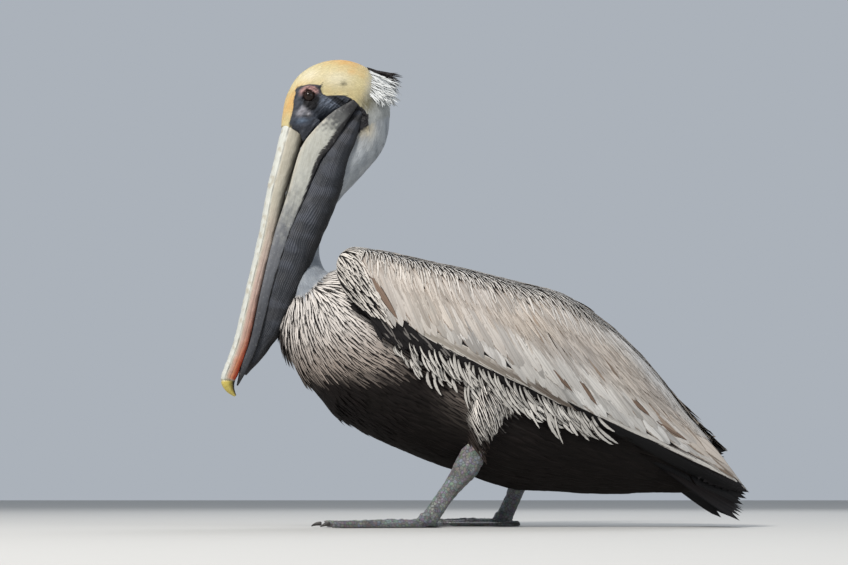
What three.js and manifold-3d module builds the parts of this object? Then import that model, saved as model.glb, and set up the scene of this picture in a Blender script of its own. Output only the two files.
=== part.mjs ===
// A brown pelican at rest, life size, in millimetres.
// +Z is up, the floor is Z = 0, and the bird faces -X, so its left side is -Y.
// Most of it is made of sweeps: rounded sections carried along a line in the plane
// of symmetry. Each piece is then trimmed by its neighbours, a thin gap apart.

import * as THREE from "three";
import { mergeVertices } from "three/addons/utils/BufferGeometryUtils.js";
import Module from "manifold-3d";

const wasm = await Module();
wasm.setup();

// ---- Driving dimensions ----

const GAP = 0.4; // space left between touching pieces
const CENTRE_X = 1.4; // moves the bird so that its box is centred over the origin
const BODY_TILT = 22; // degrees that the trunk slopes down towards the tail
const BREAST_X = -221; // foremost point of the breast
const BREAST_Z = 213;
const HEAD_TURN = 10; // degrees that the head looks to the bird's left
const NAPE_X = -146; // the line that the head turns about

const EYE_RADIUS = 7.2;
const EYE_X = -196.5;
const EYE_Z = 469;
const EYE_Y = 17.2; // from the plane of symmetry to the eye's centre

const LEFT_FOOT = { x: -60, y: -62 }; // where each shank meets its foot
const RIGHT_FOOT = { x: 24, y: 57 };
const FOOT_TOP = 15;
const WEB_THICK = 2.6;
const WEB_LOWEST = 0.7; // the web hangs this far above the toe pads' soles

const TAIL_LENGTH = 150;
const TAIL_FEATHERS = 11;

// ---- Small helpers ----

const rad = THREE.MathUtils.degToRad;
const vec = (x, y, z) => new THREE.Vector3(x, y, z);

// The value at t (0 to 1) of a smooth curve through evenly spaced numbers.
function smooth(values, t) {
  const last = values.length - 1;
  const i = Math.min(Math.floor(t * last), last - 1);
  const f = t * last - i;
  const at = (k) => values[THREE.MathUtils.clamp(k, 0, last)];
  const [a, b, c, d] = [at(i - 1), at(i), at(i + 1), at(i + 2)];
  return b + 0.5 * f * (c - a + f * (2 * a - 5 * b + 4 * c - d + f * (3 * (b - c) + d - a)));
}

// A closed skin over rings of points that all have the same number of points.
function skinOver(rings) {
  const count = rings[0].length;
  const points = rings.flat();
  const middle = (ring) => ring.reduce((sum, p) => sum.add(p), vec(0, 0, 0)).divideScalar(count);
  const first = points.push(middle(rings[0])) - 1;
  const last = points.push(middle(rings[rings.length - 1])) - 1;
  const index = [];
  for (let i = 0; i < count; i++) {
    const j = (i + 1) % count;
    for (let r = 0; r + 1 < rings.length; r++) {
      const [a, b, c, d] = [r * count + i, r * count + j, (r + 1) * count + j, (r + 1) * count + i];
      index.push(a, b, c, a, c, d);
    }
    const end = (rings.length - 1) * count;
    index.push(first, j, i, last, end + i, end + j);
  }
  return new THREE.BufferGeometry().setFromPoints(points).setIndex(index);
}

// The solid inside a closed geometry, whichever way its faces were wound.
function solidOf(geometry) {
  const bare = geometry.clone();
  bare.deleteAttribute("normal");
  bare.deleteAttribute("uv");
  const merged = mergeVertices(bare, 1e-4);
  const triVerts = new Uint32Array(merged.index.array);
  const build = () =>
    new wasm.Manifold(
      new wasm.Mesh({ numProp: 3, vertProperties: merged.attributes.position.array, triVerts }),
    );
  const made = build();
  if (made.volume() > 0) return made;
  for (let i = 0; i < triVerts.length; i += 3) {
    [triVerts[i + 1], triVerts[i + 2]] = [triVerts[i + 2], triVerts[i + 1]];
  }
  return build();
}

// The largest body of a solid, without the slivers that a cut may leave.
function largest(solid) {
  return solid.decompose().sort((a, b) => b.volume() - a.volume())[0];
}

// A solid less all of the others.
function trimmed(solid, ...others) {
  return largest(others.reduce((rest, other) => rest.subtract(other), solid));
}

// The two parts of a solid on either side of a plane, a gap apart: behind it, then ahead of it.
function parted(solid, point, normal) {
  const n = normal.clone().normalize();
  const offset = point.dot(n);
  const ahead = solid.trimByPlane([n.x, n.y, n.z], offset + GAP / 2);
  const behind = solid.trimByPlane([-n.x, -n.y, -n.z], GAP / 2 - offset);
  return [largest(behind), largest(ahead)];
}

// A point round the head's upright turning line, turned by a share of the head's turn.
function turned(point, share) {
  const moved = point.clone().sub(vec(NAPE_X, 0, 0));
  moved.applyAxisAngle(vec(0, 0, 1), rad(HEAD_TURN * share));
  return moved.add(vec(NAPE_X, 0, 0));
}

// A sweep along a line. Each station is { x, y, z, deep, wide, turn }: half the section's
// depth in the plane of symmetry, half its width across it, and its share of the head's turn.
function sweep(stations, { rings = 24, sides = 20, power = 2, grow = 0, across = vec(0, 1, 0) } = {}) {
  const curve = (key) => (t) => smooth(stations.map((s) => s[key] ?? 0), t);
  const [x, y, z, deep, wide, turn] = ["x", "y", "z", "deep", "wide", "turn"].map(curve);
  const place = (t) => vec(x(t), y(t), z(t));
  const made = [];
  for (let r = 0; r < rings; r++) {
    const t = r / (rings - 1);
    const step = 0.01;
    const along = place(Math.min(t + step, 1)).sub(place(Math.max(t - step, 0))).normalize();
    const up = along.clone().cross(across).normalize();
    const side = up.clone().cross(along);
    const end = r === 0 ? -grow : r === rings - 1 ? grow : 0;
    const ring = [];
    for (let i = 0; i < sides; i++) {
      const angle = (2 * Math.PI * i) / sides;
      const [c, s] = [Math.cos(angle), Math.sin(angle)];
      const w = Math.sign(c) * Math.abs(c) ** (2 / power) * (Math.max(wide(t), 0.4) + grow);
      const d = Math.sign(s) * Math.abs(s) ** (2 / power) * (Math.max(deep(t), 0.4) + grow);
      const point = place(t).addScaledVector(side, w).addScaledVector(up, d).addScaledVector(along, end);
      ring.push(turned(point, turn(t)));
    }
    made.push(ring);
  }
  return solidOf(skinOver(made));
}

// Stations from rows of numbers: x, z, deep, wide and, where they matter, y and turn.
const stationsOf = (rows) =>
  rows.map(([x, z, deep, wide, y = 0, turn = 0]) => ({ x, y, z, deep, wide, turn }));

// ---- The trunk's own frame: s runs back along the tilted axis, h is height above it ----

function inTrunk(s, h, y) {
  const [c, sn] = [Math.cos(rad(BODY_TILT)), Math.sin(rad(BODY_TILT))];
  return vec(BREAST_X + s * c + h * sn, y, BREAST_Z - s * sn + h * c);
}

// Trunk with its plumage: s, h of the middle, half depth, half width.
const TRUNK = [
  [-7, 6, 4, 4],
  [0, 8, 28, 25],
  [21, 14, 53, 46],
  [64, 22, 81, 67],
  [121, 25, 96, 82],
  [176, 29, 103, 88],
  [231, 33, 105, 87],
  [286, 36, 104, 80],
  [341, 37, 90, 68],
  [385, 36, 75, 56],
  [429, 33, 55, 42],
  [470, 27, 32, 27],
  [496, 20, 12, 11],
  [502, 18, 3, 3],
];

function trunkSolid(grow = 0) {
  const stations = TRUNK.map(([s, h, deep, wide]) => ({ ...inTrunk(s, h, 0), deep, wide }));
  return sweep(stations, { rings: 20, sides: 20, power: 2.15, grow });
}

// ---- Head and neck: one line from the bill's base over the crown and down to the breast ----

const HEAD_AND_NECK = [
  [-214, 431, 13.8, 15.5, 0, 1],
  [-208, 444, 19.5, 18.5, 0, 1],
  [-197, 461, 28, 22, 0, 1],
  [-181, 475, 34.5, 25, 0, 1],
  [-158, 480, 36.5, 27, 0, 1],
  [-139, 471, 34.5, 27, 0, 1],
  [-129, 449, 27, 25.5, 0, 0.9],
  [-132, 424, 23.5, 23, 0, 0.7],
  [-151, 397, 21.5, 21, 2, 0.4],
  [-173, 371, 20, 19.5, 4, 0.15],
  [-191, 344, 20, 18.5, 6, 0],
  [-199, 315, 20, 18.5, 6, 0],
  [-200, 292, 21, 20, 5, 0],
  [-195, 268, 26, 28, 2, 0],
  [-180, 238, 36, 42, 0, 0],
];

const headAndNeck = (grow = 0) =>
  sweep(stationsOf(HEAD_AND_NECK), { rings: 26, sides: 16, grow });

// A flat tuft of long plumes at the nape: x, z, half depth, half width.
const CREST = [
  [-140, 489, 14, 9, 0, 1],
  [-121, 490, 15, 8, 0, 1],
  [-106, 487, 12, 5, 0, 1],
  [-93, 485, 5, 1.5, 0, 1],
];

// ---- Bill ----

const UPPER_BILL = [
  [-205, 448, 12, 12, 0, 1],
  [-212, 432, 13, 14.5, 0, 1],
  [-219.5, 404, 12, 14.6, 0, 1],
  [-230, 364, 10.5, 14, 0, 1],
  [-239.5, 314, 9.6, 13.4, 0, 1],
  [-253, 257, 8.7, 13, 0, 1],
  [-265, 202, 8.6, 12, 0, 1],
  [-275, 172, 8.4, 10, 0, 1],
  [-280, 158, 8, 8, 0, 1],
  [-278, 148, 5.2, 5, 0, 1],
  [-272, 140, 1.2, 1.2, 0, 1],
];
const NAIL_START = vec(-274, 0, 174);

// One side of the lower jaw, from the gape to the chin: x, z, half depth, half thickness, y.
const JAW = [
  [-146, 462, 4, 2.4, 27.5, 1],
  [-165, 443, 10, 3, 27, 1],
  [-181, 422, 13.5, 3.2, 24, 1],
  [-195, 402, 12.6, 3, 19.5, 1],
  [-210, 357, 9.8, 2.8, 17, 1],
  [-225, 314, 8, 2.6, 15, 1],
  [-240, 257, 6, 2.5, 13.4, 1],
  [-252, 202, 4.8, 2.5, 10.5, 1],
  [-262, 173, 4, 2.5, 6, 1],
  [-268, 156, 3, 2.4, 1.4, 1],
];

// The throat pouch, folded up under the jaw: x, z, half depth, half width, y.
const POUCH = [
  [-139, 455, 8, 24, 0, 1],
  [-156, 424, 15, 27.5, 0, 1],
  [-166, 404, 17, 26.5, 0, 1],
  [-180, 366, 20, 24, 0, 1],
  [-204, 311, 21.5, 20.5, 0, 1],
  [-221, 259, 20, 17, 0, 1],
  [-237, 215, 14.5, 12, 0, 1],
  [-251, 185, 8, 7, 0, 1],
  [-263, 164, 3, 4, 0, 1],
];

const upperBill = (grow = 0) =>
  sweep(stationsOf(UPPER_BILL), { rings: 18, sides: 12, power: 2.3, grow });

function lowerJaw(grow = 0) {
  const sides = [-1, 1].map((side) => {
    const rows = JAW.map(([x, z, deep, thick, y, turn]) => [x, z, deep, thick, y * side, turn]);
    return sweep(stationsOf(rows), { rings: 12, sides: 8, power: 2.6, grow });
  });
  return sides[0].add(sides[1]);
}

const pouchSolid = () => sweep(stationsOf(POUCH), { rings: 11, sides: 16, power: 2.2 });

// ---- Folded wings ----

// Along the trunk's frame: s, h of the top edge, h of the lower edge, widest y,
// y of the top edge, y of the lower edge and thickness.
const WING = [
  [30, 97, 84, 60, 48, 52, 10],
  [36, 106, 71, 73, 46, 60, 18],
  [49, 112, 57, 83, 42, 70, 24],
  [79, 119, 43, 95, 32, 84, 28],
  [118, 126, 27, 103, 24, 95, 30],
  [176, 137, 21, 108, 17, 100, 30],
  [231, 144, 21, 107, 13, 98, 30],
  [270, 150, 25, 102, 11, 93, 30],
  [320, 139, 26, 89, 10, 80, 28],
  [358, 126, 25, 79, 9, 71, 24],
  [397, 107, 22, 65, 8, 58, 20],
  [437, 83, 19, 50, 7, 45, 14],
  [473, 64, 16, 37, 6, 32, 9],
  [500, 48, 14, 28, 5.5, 23, 6],
  [522, 34, 19, 18, 6, 15, 3.5],
  [532, 28, 22, 14, 7, 12, 2.5],
];
// The line between the coverts and the flight feathers: s, h and the right wing's lift there.
const FLIGHT_EDGE = [
  [20, 40, 0],
  [118, 33, 0],
  [231, 30, 0],
  [320, 37, 0],
  [397, 35, 6],
  [473, 30, 22],
  [512, 27, 30],
  [560, 30, 34],
];
const RIGHT_WING_LIFT = 34; // the right wing tip lies over the left one by this much
const RIGHT_WING_SHORTER = 0.17; // and is drawn up by this share of its length
const WING_FOLD_S = 330; // the two wings are alike ahead of this

function wingSolid(side) {
  const rings = 17;
  const curves = WING[0].map((_, key) => (t) => smooth(WING.map((row) => row[key]), t));
  const made = [];
  for (let r = 0; r < rings; r++) {
    const [s, top, low, out, yTop, yLow, thick] = curves.map((curve) => curve(r / (rings - 1)));
    const past = Math.max(s - WING_FOLD_S, 0);
    const share = past / (WING[WING.length - 1][0] - WING_FOLD_S);
    const back = side > 0 ? s - RIGHT_WING_SHORTER * past : s;
    const lift = side > 0 ? RIGHT_WING_LIFT * share * share : 0;
    const bulge = (8 * out - yTop - yLow) / 6;
    const edge = new THREE.CubicBezierCurve(
      new THREE.Vector2(yTop, top),
      new THREE.Vector2(bulge, top),
      new THREE.Vector2(bulge, low + 0.35 * (top - low)),
      new THREE.Vector2(yLow, low),
    );
    const outer = [];
    const inner = [];
    const steps = 6;
    for (let i = 0; i <= steps; i++) {
      const u = i / steps;
      const p = edge.getPoint(u);
      const along = edge.getTangent(u);
      const inward = new THREE.Vector2(along.y, -along.x);
      const depth = thick * Math.max(Math.sin(Math.PI * u) ** 0.6, 0.12);
      outer.push(p.clone());
      inner.push(p.clone().addScaledVector(inward, depth));
    }
    const loop = [...outer, ...inner.reverse()];
    made.push(loop.map((p) => inTrunk(back, p.y + lift, side * p.x)));
  }
  return solidOf(skinOver(made));
}

// Everything below the line between the coverts and the flight feathers.
function underFlightEdge(side, drop) {
  const line = FLIGHT_EDGE.map(([s, h, lift]) => inTrunk(s, h - drop + (side > 0 ? lift : 0), 0));
  const shape = new THREE.Shape();
  const lowest = -100;
  const reach = 200; // wider than the bird
  shape.moveTo(line[0].x - 60, lowest);
  line.forEach((p) => shape.lineTo(p.x, p.z));
  shape.lineTo(line[line.length - 1].x + 10, lowest);
  const geometry = new THREE.ExtrudeGeometry(shape, { depth: 2 * reach, bevelEnabled: false });
  geometry.rotateX(Math.PI / 2).translate(0, reach, 0);
  return solidOf(geometry);
}

// ---- Tail: an arched fan with a scalloped end ----

const TAIL_ROOT = { x: 150, z: 93 };
const TAIL_SLOPE = 30; // degrees below level
const TAIL_ARCH = 15; // how far the fan's edges droop at its end
const TAIL_ROUND = 16; // how much shorter the outermost feathers are
const TAIL_SCALLOP = 3.5;
const TAIL_HALF_WIDTH = { root: 24, end: 51 };
const TAIL_THICK = { root: 12, end: 3 };

function tailSolid(grow = 0) {
  const made = [];
  const rings = 6;
  const a = rad(TAIL_SLOPE);
  for (let r = 0; r < rings; r++) {
    const t = r / (rings - 1);
    const wide = THREE.MathUtils.lerp(TAIL_HALF_WIDTH.root, TAIL_HALF_WIDTH.end, t) + grow;
    const thick = THREE.MathUtils.lerp(TAIL_THICK.root, TAIL_THICK.end, t) + 2 * grow;
    const point = (u, over) => {
      const scallop = TAIL_SCALLOP * Math.abs(Math.cos((Math.PI * TAIL_FEATHERS * u) / 2));
      const s = t * (TAIL_LENGTH + grow - (TAIL_ROUND * u * u - scallop) * t);
      const drop = TAIL_ARCH * u * u * t;
      return vec(
        TAIL_ROOT.x + s * Math.cos(a) + over * Math.sin(a),
        wide * u,
        TAIL_ROOT.z - s * Math.sin(a) + over * Math.cos(a) - drop,
      );
    };
    const across = Array.from({ length: TAIL_FEATHERS + 1 }, (_, i) => (2 * i) / TAIL_FEATHERS - 1);
    const edge = (u) => (thick / 2) * Math.max(Math.sqrt(1 - u * u), 0.25);
    made.push([
      ...across.map((u) => point(u, edge(u))),
      ...across.reverse().map((u) => point(u, -edge(u))),
    ]);
  }
  return solidOf(skinOver(made));
}

// ---- Legs and feet ----

// Offsets from the foot's joint: x, z, half depth, half width and y.
const LEFT_THIGH = [
  [70, 176, 34, 22, 2],
  [65, 150, 35, 30, -1],
  [57, 126, 28, 27, -2],
  [51, 107, 20, 19, 0],
  [48, 94, 15.5, 12.5, 3],
  [46, 84, 12, 9, 4],
];
const LEFT_SHANK = [
  [50, 97, 12, 8, 3],
  [46, 78, 13, 8.5, 5],
  [38, 62, 13.5, 9.5, 6],
  [27, 47, 10, 7, 5],
  [14, 30, 8.6, 5.6, 3],
  [3, 14, 9, 6.4, 1],
  [-3, 5, 9, 7, 0],
];
const RIGHT_THIGH = [
  [38, 165, 34, 22, 2],
  [35, 142, 34, 29, 4],
  [29, 119, 27, 25, 4],
  [25, 102, 19, 18, 2],
  [23, 89, 15, 12.5, 0],
  [21, 79, 12, 9, 0],
];
const RIGHT_SHANK = [
  [24, 96, 12, 8, 0],
  [22, 80, 13, 8.5, 0],
  [20, 66, 13.5, 9.5, 0],
  [16, 50, 10.5, 7, 0],
  [9, 31, 8.6, 5.6, 0],
  [1, 14, 9, 6.4, 0],
  [-4, 5, 9, 7, 0],
];

// Toes from the outer one to the hind one: degrees in from straight ahead, and length.
const TOES = [
  { name: "outer", angle: -16, length: 110, thick: 5.2 },
  { name: "middle", angle: 5, length: 118, thick: 5.4 },
  { name: "inner", angle: 28, length: 88, thick: 5 },
  { name: "hind", angle: 104, length: 46, thick: 4.4 },
];
const ANKLE_RADIUS = 9;
const TOE_END = 0.97; // the claw takes over this far along the toe
const TOE_JOINTS = 3;
const KNUCKLE = 0.5; // how much a toe swells at its joints
const TOE_TAPER = 0.45; // share of its thickness that a toe loses towards its tip
const TOE_ROOT = 0.25; // the toes part from each other this far along
const WEB_SCALLOP = 0.13; // how far back the web's edge is cut midway between two toes
const CLAW_LENGTH = 11;

const placed = (rows, foot) =>
  stationsOf(rows.map(([x, z, deep, wide, y]) => [foot.x + x, z, deep, wide, foot.y + y]));

// The heading of a toe on a foot whose inner side is +Y (inward 1) or -Y (inward -1).
const heading = (toe, inward) =>
  vec(-Math.cos(rad(toe.angle)), inward * Math.sin(rad(toe.angle)), 0);

// The foot is a fan of rows, each a loop over the toes and webs and back along the sole.
function footSolid(foot, inward) {
  const base = vec(foot.x, foot.y, 0);
  const row = (t) => {
    const top = [];
    const sole = [];
    const put = (p, high, low) => {
      top.push(vec(p.x, p.y, high));
      sole.push(vec(p.x, p.y, low));
    };
    TOES.forEach((toe, i) => {
      const ahead = heading(toe, inward);
      const across = ahead.clone().cross(vec(0, 0, inward));
      const joint = Math.cos(2 * Math.PI * TOE_JOINTS * t) * KNUCKLE;
      const half = (toe.thick * (1 - TOE_TAPER * t) + joint) * Math.min(t / TOE_ROOT, 1);
      const middle = base.clone().addScaledVector(ahead, t * toe.length);
      if (i > 0) {
        const before = base.clone().addScaledVector(heading(TOES[i - 1], inward), t * TOES[i - 1].length);
        const dip = 1 - WEB_SCALLOP * t * t;
        const web = before.add(middle).multiplyScalar(0.5).sub(base).multiplyScalar(dip).add(base);
        put(web, WEB_LOWEST + WEB_THICK, WEB_LOWEST);
      }
      const high = toe.thick * (1.75 - TOE_TAPER * t) + joint;
      put(middle.clone().addScaledVector(across, -half), WEB_LOWEST + WEB_THICK, 0);
      put(middle, high, 0);
      put(middle.clone().addScaledVector(across, half), WEB_LOWEST + WEB_THICK, 0);
    });
    return [...top, ...sole.reverse()];
  };
  const rows = [0.05, 0.18, 0.36, 0.56, 0.77, TOE_END].map(row);
  const ankle = new THREE.SphereGeometry(ANKLE_RADIUS, 8, 6).scale(1.25, 0.9, 0.95);
  ankle.translate(base.x - 2, base.y, ANKLE_RADIUS);
  return solidOf(skinOver(rows)).add(solidOf(ankle));
}

function clawSolid(foot, inward, toe) {
  const ahead = heading(toe, inward);
  const across = ahead.clone().cross(vec(0, 0, 1)).normalize();
  const start = vec(foot.x, foot.y, 0).addScaledVector(ahead, toe.length * TOE_END + GAP);
  const rows = [
    [0, 3.8, 2.9],
    [0.4, 3.8, 2.5],
    [0.75, 2.6, 1.7],
    [1, 1, 0.5],
  ];
  const stations = rows.map(([t, z, deep]) => {
    const p = start.clone().addScaledVector(ahead, t * CLAW_LENGTH);
    return { x: p.x, y: p.y, z, deep, wide: deep * 0.85 };
  });
  return sweep(stations, { rings: 4, sides: 5, across });
}

// ---- Colours ----

const paint = (color, roughness) =>
  new THREE.MeshStandardMaterial({ color, roughness, metalness: 0 });
const CROWN = paint(0xe8d79a, 0.8);
const WHITE = paint(0xe9e6dc, 0.8);
const BROWN = paint(0x5d5148, 0.8);
const SILVER = paint(0xa79d90, 0.7);
const BLACK = paint(0x211d1b, 0.7);
const IVORY = paint(0xd8cfb8, 0.45);
const SLATE = paint(0x4b4c52, 0.6);
const NAIL = paint(0x9a8f3c, 0.4);
const EYE = paint(0x2a1a12, 0.1);
const LEG = paint(0x5f6266, 0.6);
const CLAW = paint(0x2b2724, 0.4);

// ---- The bird ----

const pelican = new THREE.Group();

function add(name, solid, material) {
  const { vertProperties, triVerts, numProp } = solid.getMesh();
  const position = new Float32Array((vertProperties.length / numProp) * 3);
  for (let i = 0; i < position.length / 3; i++) {
    position.set(vertProperties.subarray(i * numProp, i * numProp + 3), i * 3);
  }
  const geometry = new THREE.BufferGeometry();
  geometry.setAttribute("position", new THREE.BufferAttribute(position, 3));
  geometry.setIndex(new THREE.BufferAttribute(new Uint32Array(triVerts), 1));
  geometry.computeVertexNormals();
  const mesh = new THREE.Mesh(geometry, material);
  mesh.name = name;
  pelican.add(mesh);
}

const trunk = trunkSolid();
const trunkRoom = trunkSolid(GAP);
const jaw = lowerJaw();
const jawRoom = lowerJaw(GAP);

function addHeadAndNeck() {
  const sockets = [-1, 1].map((side) => {
    const centre = turned(vec(EYE_X, side * EYE_Y, EYE_Z), 1);
    const ball = (radius) =>
      solidOf(new THREE.SphereGeometry(radius, 12, 8).translate(centre.x, centre.y, centre.z));
    add(side < 0 ? "eye_left" : "eye_right", ball(EYE_RADIUS), EYE);
    return ball(EYE_RADIUS + GAP);
  });
  const whole = trimmed(headAndNeck(), trunkRoom, jawRoom, upperBill(GAP), ...sockets);
  const throat = turned(vec(-128, 0, 438), 1);
  const [head, neck] = parted(whole, throat, vec(0.5, 0, -0.85));
  const [upper, lower] = parted(neck, vec(-189, 0, 344), vec(-0.35, 0, -0.94));
  add("head", head, CROWN);
  add("neck_upper", upper, WHITE);
  add("neck_lower", lower, WHITE);
  const crest = sweep(stationsOf(CREST), { rings: 9, sides: 12 });
  add("crest", trimmed(crest, headAndNeck(GAP)), WHITE);
}

function addBill() {
  const slope = turned(vec(NAPE_X - 0.1, 0, -1), 1).sub(vec(NAPE_X, 0, 0));
  const [upper, nail] = parted(trimmed(upperBill(), jawRoom), turned(NAIL_START, 1), slope);
  add("bill_upper", upper, IVORY);
  add("bill_nail", nail, NAIL);
  add("bill_lower", trimmed(jaw, trunkRoom), IVORY);
  const pouch = trimmed(pouchSolid(), headAndNeck(GAP), upperBill(GAP), jawRoom, trunkRoom);
  add("pouch", pouch, SLATE);
}

function addWing(name, side, thighRoom) {
  const whole = wingSolid(side);
  const neighbours = [trunkRoom, thighRoom, tailSolid(GAP)];
  add(`wing_${name}`, trimmed(whole, underFlightEdge(side, 0), ...neighbours), SILVER);
  const flight = trimmed(whole.intersect(underFlightEdge(side, GAP)), ...neighbours);
  add(`flight_feathers_${name}`, flight, BLACK);
}

// Adds one leg and returns the room that its thigh takes up.
function addLeg(name, foot, thighRows, shankRows, inward) {
  const thigh = (grow) => sweep(placed(thighRows, foot), { rings: 8, sides: 14, grow });
  const shank = (grow) => sweep(placed(shankRows, foot), { rings: 10, sides: 8, grow });
  add(`thigh_${name}`, trimmed(thigh(0), trunkRoom, shank(GAP)), BROWN);
  add(`shank_${name}`, trimmed(shank(0), trunkRoom).trimByPlane([0, 0, 1], FOOT_TOP), LEG);
  const ankle = shank(0).trimByPlane([0, 0, 1], 1);
  const whole = footSolid(foot, inward).add(ankle).trimByPlane([0, 0, -1], GAP - FOOT_TOP);
  add(`foot_${name}`, largest(whole), LEG);
  TOES.forEach((toe) => add(`claw_${name}_${toe.name}`, clawSolid(foot, inward, toe), CLAW));
  return thigh(GAP);
}

add("trunk", trunk, BROWN);
addHeadAndNeck();
addBill();
addWing("left", -1, addLeg("left", LEFT_FOOT, LEFT_THIGH, LEFT_SHANK, 1));
addWing("right", 1, addLeg("right", RIGHT_FOOT, RIGHT_THIGH, RIGHT_SHANK, -1));
add("tail", trimmed(tailSolid(), trunkRoom), BLACK);

pelican.position.x = CENTRE_X;

export default pelican;
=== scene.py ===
import math

import bmesh
import bpy
import numpy as np
from bpy.props import FloatProperty, FloatVectorProperty, IntProperty, PointerProperty
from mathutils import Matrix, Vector
from mathutils.bvhtree import BVHTree
from mathutils.kdtree import KDTree


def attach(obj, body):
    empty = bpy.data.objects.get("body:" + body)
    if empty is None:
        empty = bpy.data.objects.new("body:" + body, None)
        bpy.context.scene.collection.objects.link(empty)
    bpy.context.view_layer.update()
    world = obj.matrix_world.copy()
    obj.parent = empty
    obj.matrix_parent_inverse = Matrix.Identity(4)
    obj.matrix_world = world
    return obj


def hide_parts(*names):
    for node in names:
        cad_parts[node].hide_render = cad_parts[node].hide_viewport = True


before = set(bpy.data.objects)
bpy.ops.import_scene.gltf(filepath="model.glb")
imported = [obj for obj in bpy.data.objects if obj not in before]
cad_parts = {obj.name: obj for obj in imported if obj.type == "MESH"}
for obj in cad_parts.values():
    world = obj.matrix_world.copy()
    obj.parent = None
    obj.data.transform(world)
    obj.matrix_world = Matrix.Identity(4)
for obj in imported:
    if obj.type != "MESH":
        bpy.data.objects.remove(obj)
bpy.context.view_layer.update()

bl_info = {
    "name": "Brown Pelican",
    "version": (1, 0, 0),
    "blender": (4, 5, 0),
    "location": "View3D > Sidebar > Pelican",
    "description": "Builds the skin, bill, feet and plumage of a standing brown pelican",
    "category": "Object",
}

# ---- The bird's own measures, in millimetres, as its solids have them ----

CENTRE_X = 1.4
BREAST_X = -221
BREAST_Z = 213
BODY_TILT = math.radians(22)
HEAD_TURN = math.radians(10)
NAPE_X = -146
EYE = np.array([-196.5, 17.2, 469.0])
EYE_RADIUS = 7.2
LEFT, RIGHT = -1, 1

# Along the trunk, above its line, half depth, half width.
TRUNK = [
    [-7, 6, 4, 4],
    [0, 8, 28, 25],
    [21, 14, 53, 46],
    [64, 22, 81, 67],
    [121, 25, 96, 82],
    [176, 29, 103, 88],
    [231, 33, 105, 87],
    [286, 36, 104, 80],
    [341, 37, 90, 68],
    [385, 36, 75, 56],
    [429, 33, 55, 42],
    [470, 27, 32, 27],
    [496, 20, 12, 11],
    [502, 18, 3, 3],
]

# x, z, half depth, half width, y, share of the head's turn.
HEAD_AND_NECK = [
    [-214, 431, 13.8, 15.5, 0, 1],
    [-208, 444, 19.5, 18.5, 0, 1],
    [-197, 461, 28, 22, 0, 1],
    [-181, 475, 34.5, 25, 0, 1],
    [-158, 480, 36.5, 27, 0, 1],
    [-139, 471, 34.5, 27, 0, 1],
    [-129, 449, 27, 25.5, 0, 0.9],
    [-132, 424, 23.5, 23, 0, 0.7],
    [-151, 397, 21.5, 21, 2, 0.4],
    [-173, 371, 20, 19.5, 4, 0.15],
    [-191, 344, 20, 18.5, 6, 0],
    [-199, 315, 20, 18.5, 6, 0],
    [-200, 292, 21, 20, 5, 0],
    [-195, 268, 26, 28, 2, 0],
    [-180, 238, 36, 42, 0, 0],
]

UPPER_BILL = [
    [-205, 448, 12, 12, 0, 1],
    [-212, 432, 13, 14.5, 0, 1],
    [-219.5, 404, 12, 14.6, 0, 1],
    [-230, 364, 10.5, 14, 0, 1],
    [-239.5, 314, 9.6, 13.4, 0, 1],
    [-253, 257, 8.7, 13, 0, 1],
    [-265, 202, 8.6, 12, 0, 1],
    [-275, 172, 8.4, 10, 0, 1],
    [-280, 158, 8, 8, 0, 1],
    [-278, 148, 5.2, 5, 0, 1],
    [-272, 140, 1.2, 1.2, 0, 1],
]

JAW = [
    [-146, 462, 4, 2.4, 27.5, 1],
    [-165, 443, 10, 3, 27, 1],
    [-181, 422, 13.5, 3.2, 24, 1],
    [-195, 402, 12.6, 3, 19.5, 1],
    [-210, 357, 9.8, 2.8, 17, 1],
    [-225, 314, 8, 2.6, 15, 1],
    [-240, 257, 6, 2.5, 13.4, 1],
    [-252, 202, 4.8, 2.5, 10.5, 1],
    [-262, 173, 4, 2.5, 6, 1],
    [-270, 151.5, 0.8, 0.8, 0.9, 1],
]

POUCH = [
    [-139, 455, 8, 24, 0, 1],
    [-156, 424, 15, 27.5, 0, 1],
    [-166, 404, 17, 26.5, 0, 1],
    [-180, 366, 20, 24, 0, 1],
    [-204, 311, 21.5, 20.5, 0, 1],
    [-221, 259, 20, 17, 0, 1],
    [-237, 215, 14.5, 12, 0, 1],
    [-251, 185, 8, 7, 0, 1],
    [-263, 164, 3, 4, 0, 1],
]

# The dark skin between the upper bill and each side of the lower one.
CHEEK = [
    [-190, 446, 13, 3.5, 19.5, 1],
    [-197, 436, 9.5, 3.2, 18.5, 1],
    [-200.5, 427, 6, 3, 17.5, 1],
    [-202, 418, 2.6, 2.4, 16.5, 1],
]

# Along the trunk, height of the top and lower edge, widest y, y of the top and lower edge, thickness.
WING = [
    [30, 97, 84, 60, 48, 52, 10],
    [36, 106, 71, 73, 46, 60, 18],
    [49, 112, 57, 83, 42, 70, 24],
    [79, 119, 43, 95, 32, 84, 28],
    [118, 126, 27, 103, 24, 95, 30],
    [176, 137, 21, 108, 17, 100, 30],
    [231, 144, 21, 107, 13, 98, 30],
    [270, 150, 25, 102, 11, 93, 30],
    [320, 139, 26, 89, 10, 80, 28],
    [358, 126, 25, 79, 9, 71, 24],
    [397, 107, 22, 65, 8, 58, 20],
    [437, 83, 19, 50, 7, 45, 14],
    [473, 64, 16, 37, 6, 32, 9],
    [500, 48, 14, 28, 5.5, 23, 6],
    [522, 34, 19, 18, 6, 15, 3.5],
    [532, 28, 22, 14, 7, 12, 2.5],
]
RIGHT_WING_LIFT = 34
RIGHT_WING_SHORTER = 0.17
WING_FOLD_S = 330

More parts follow.
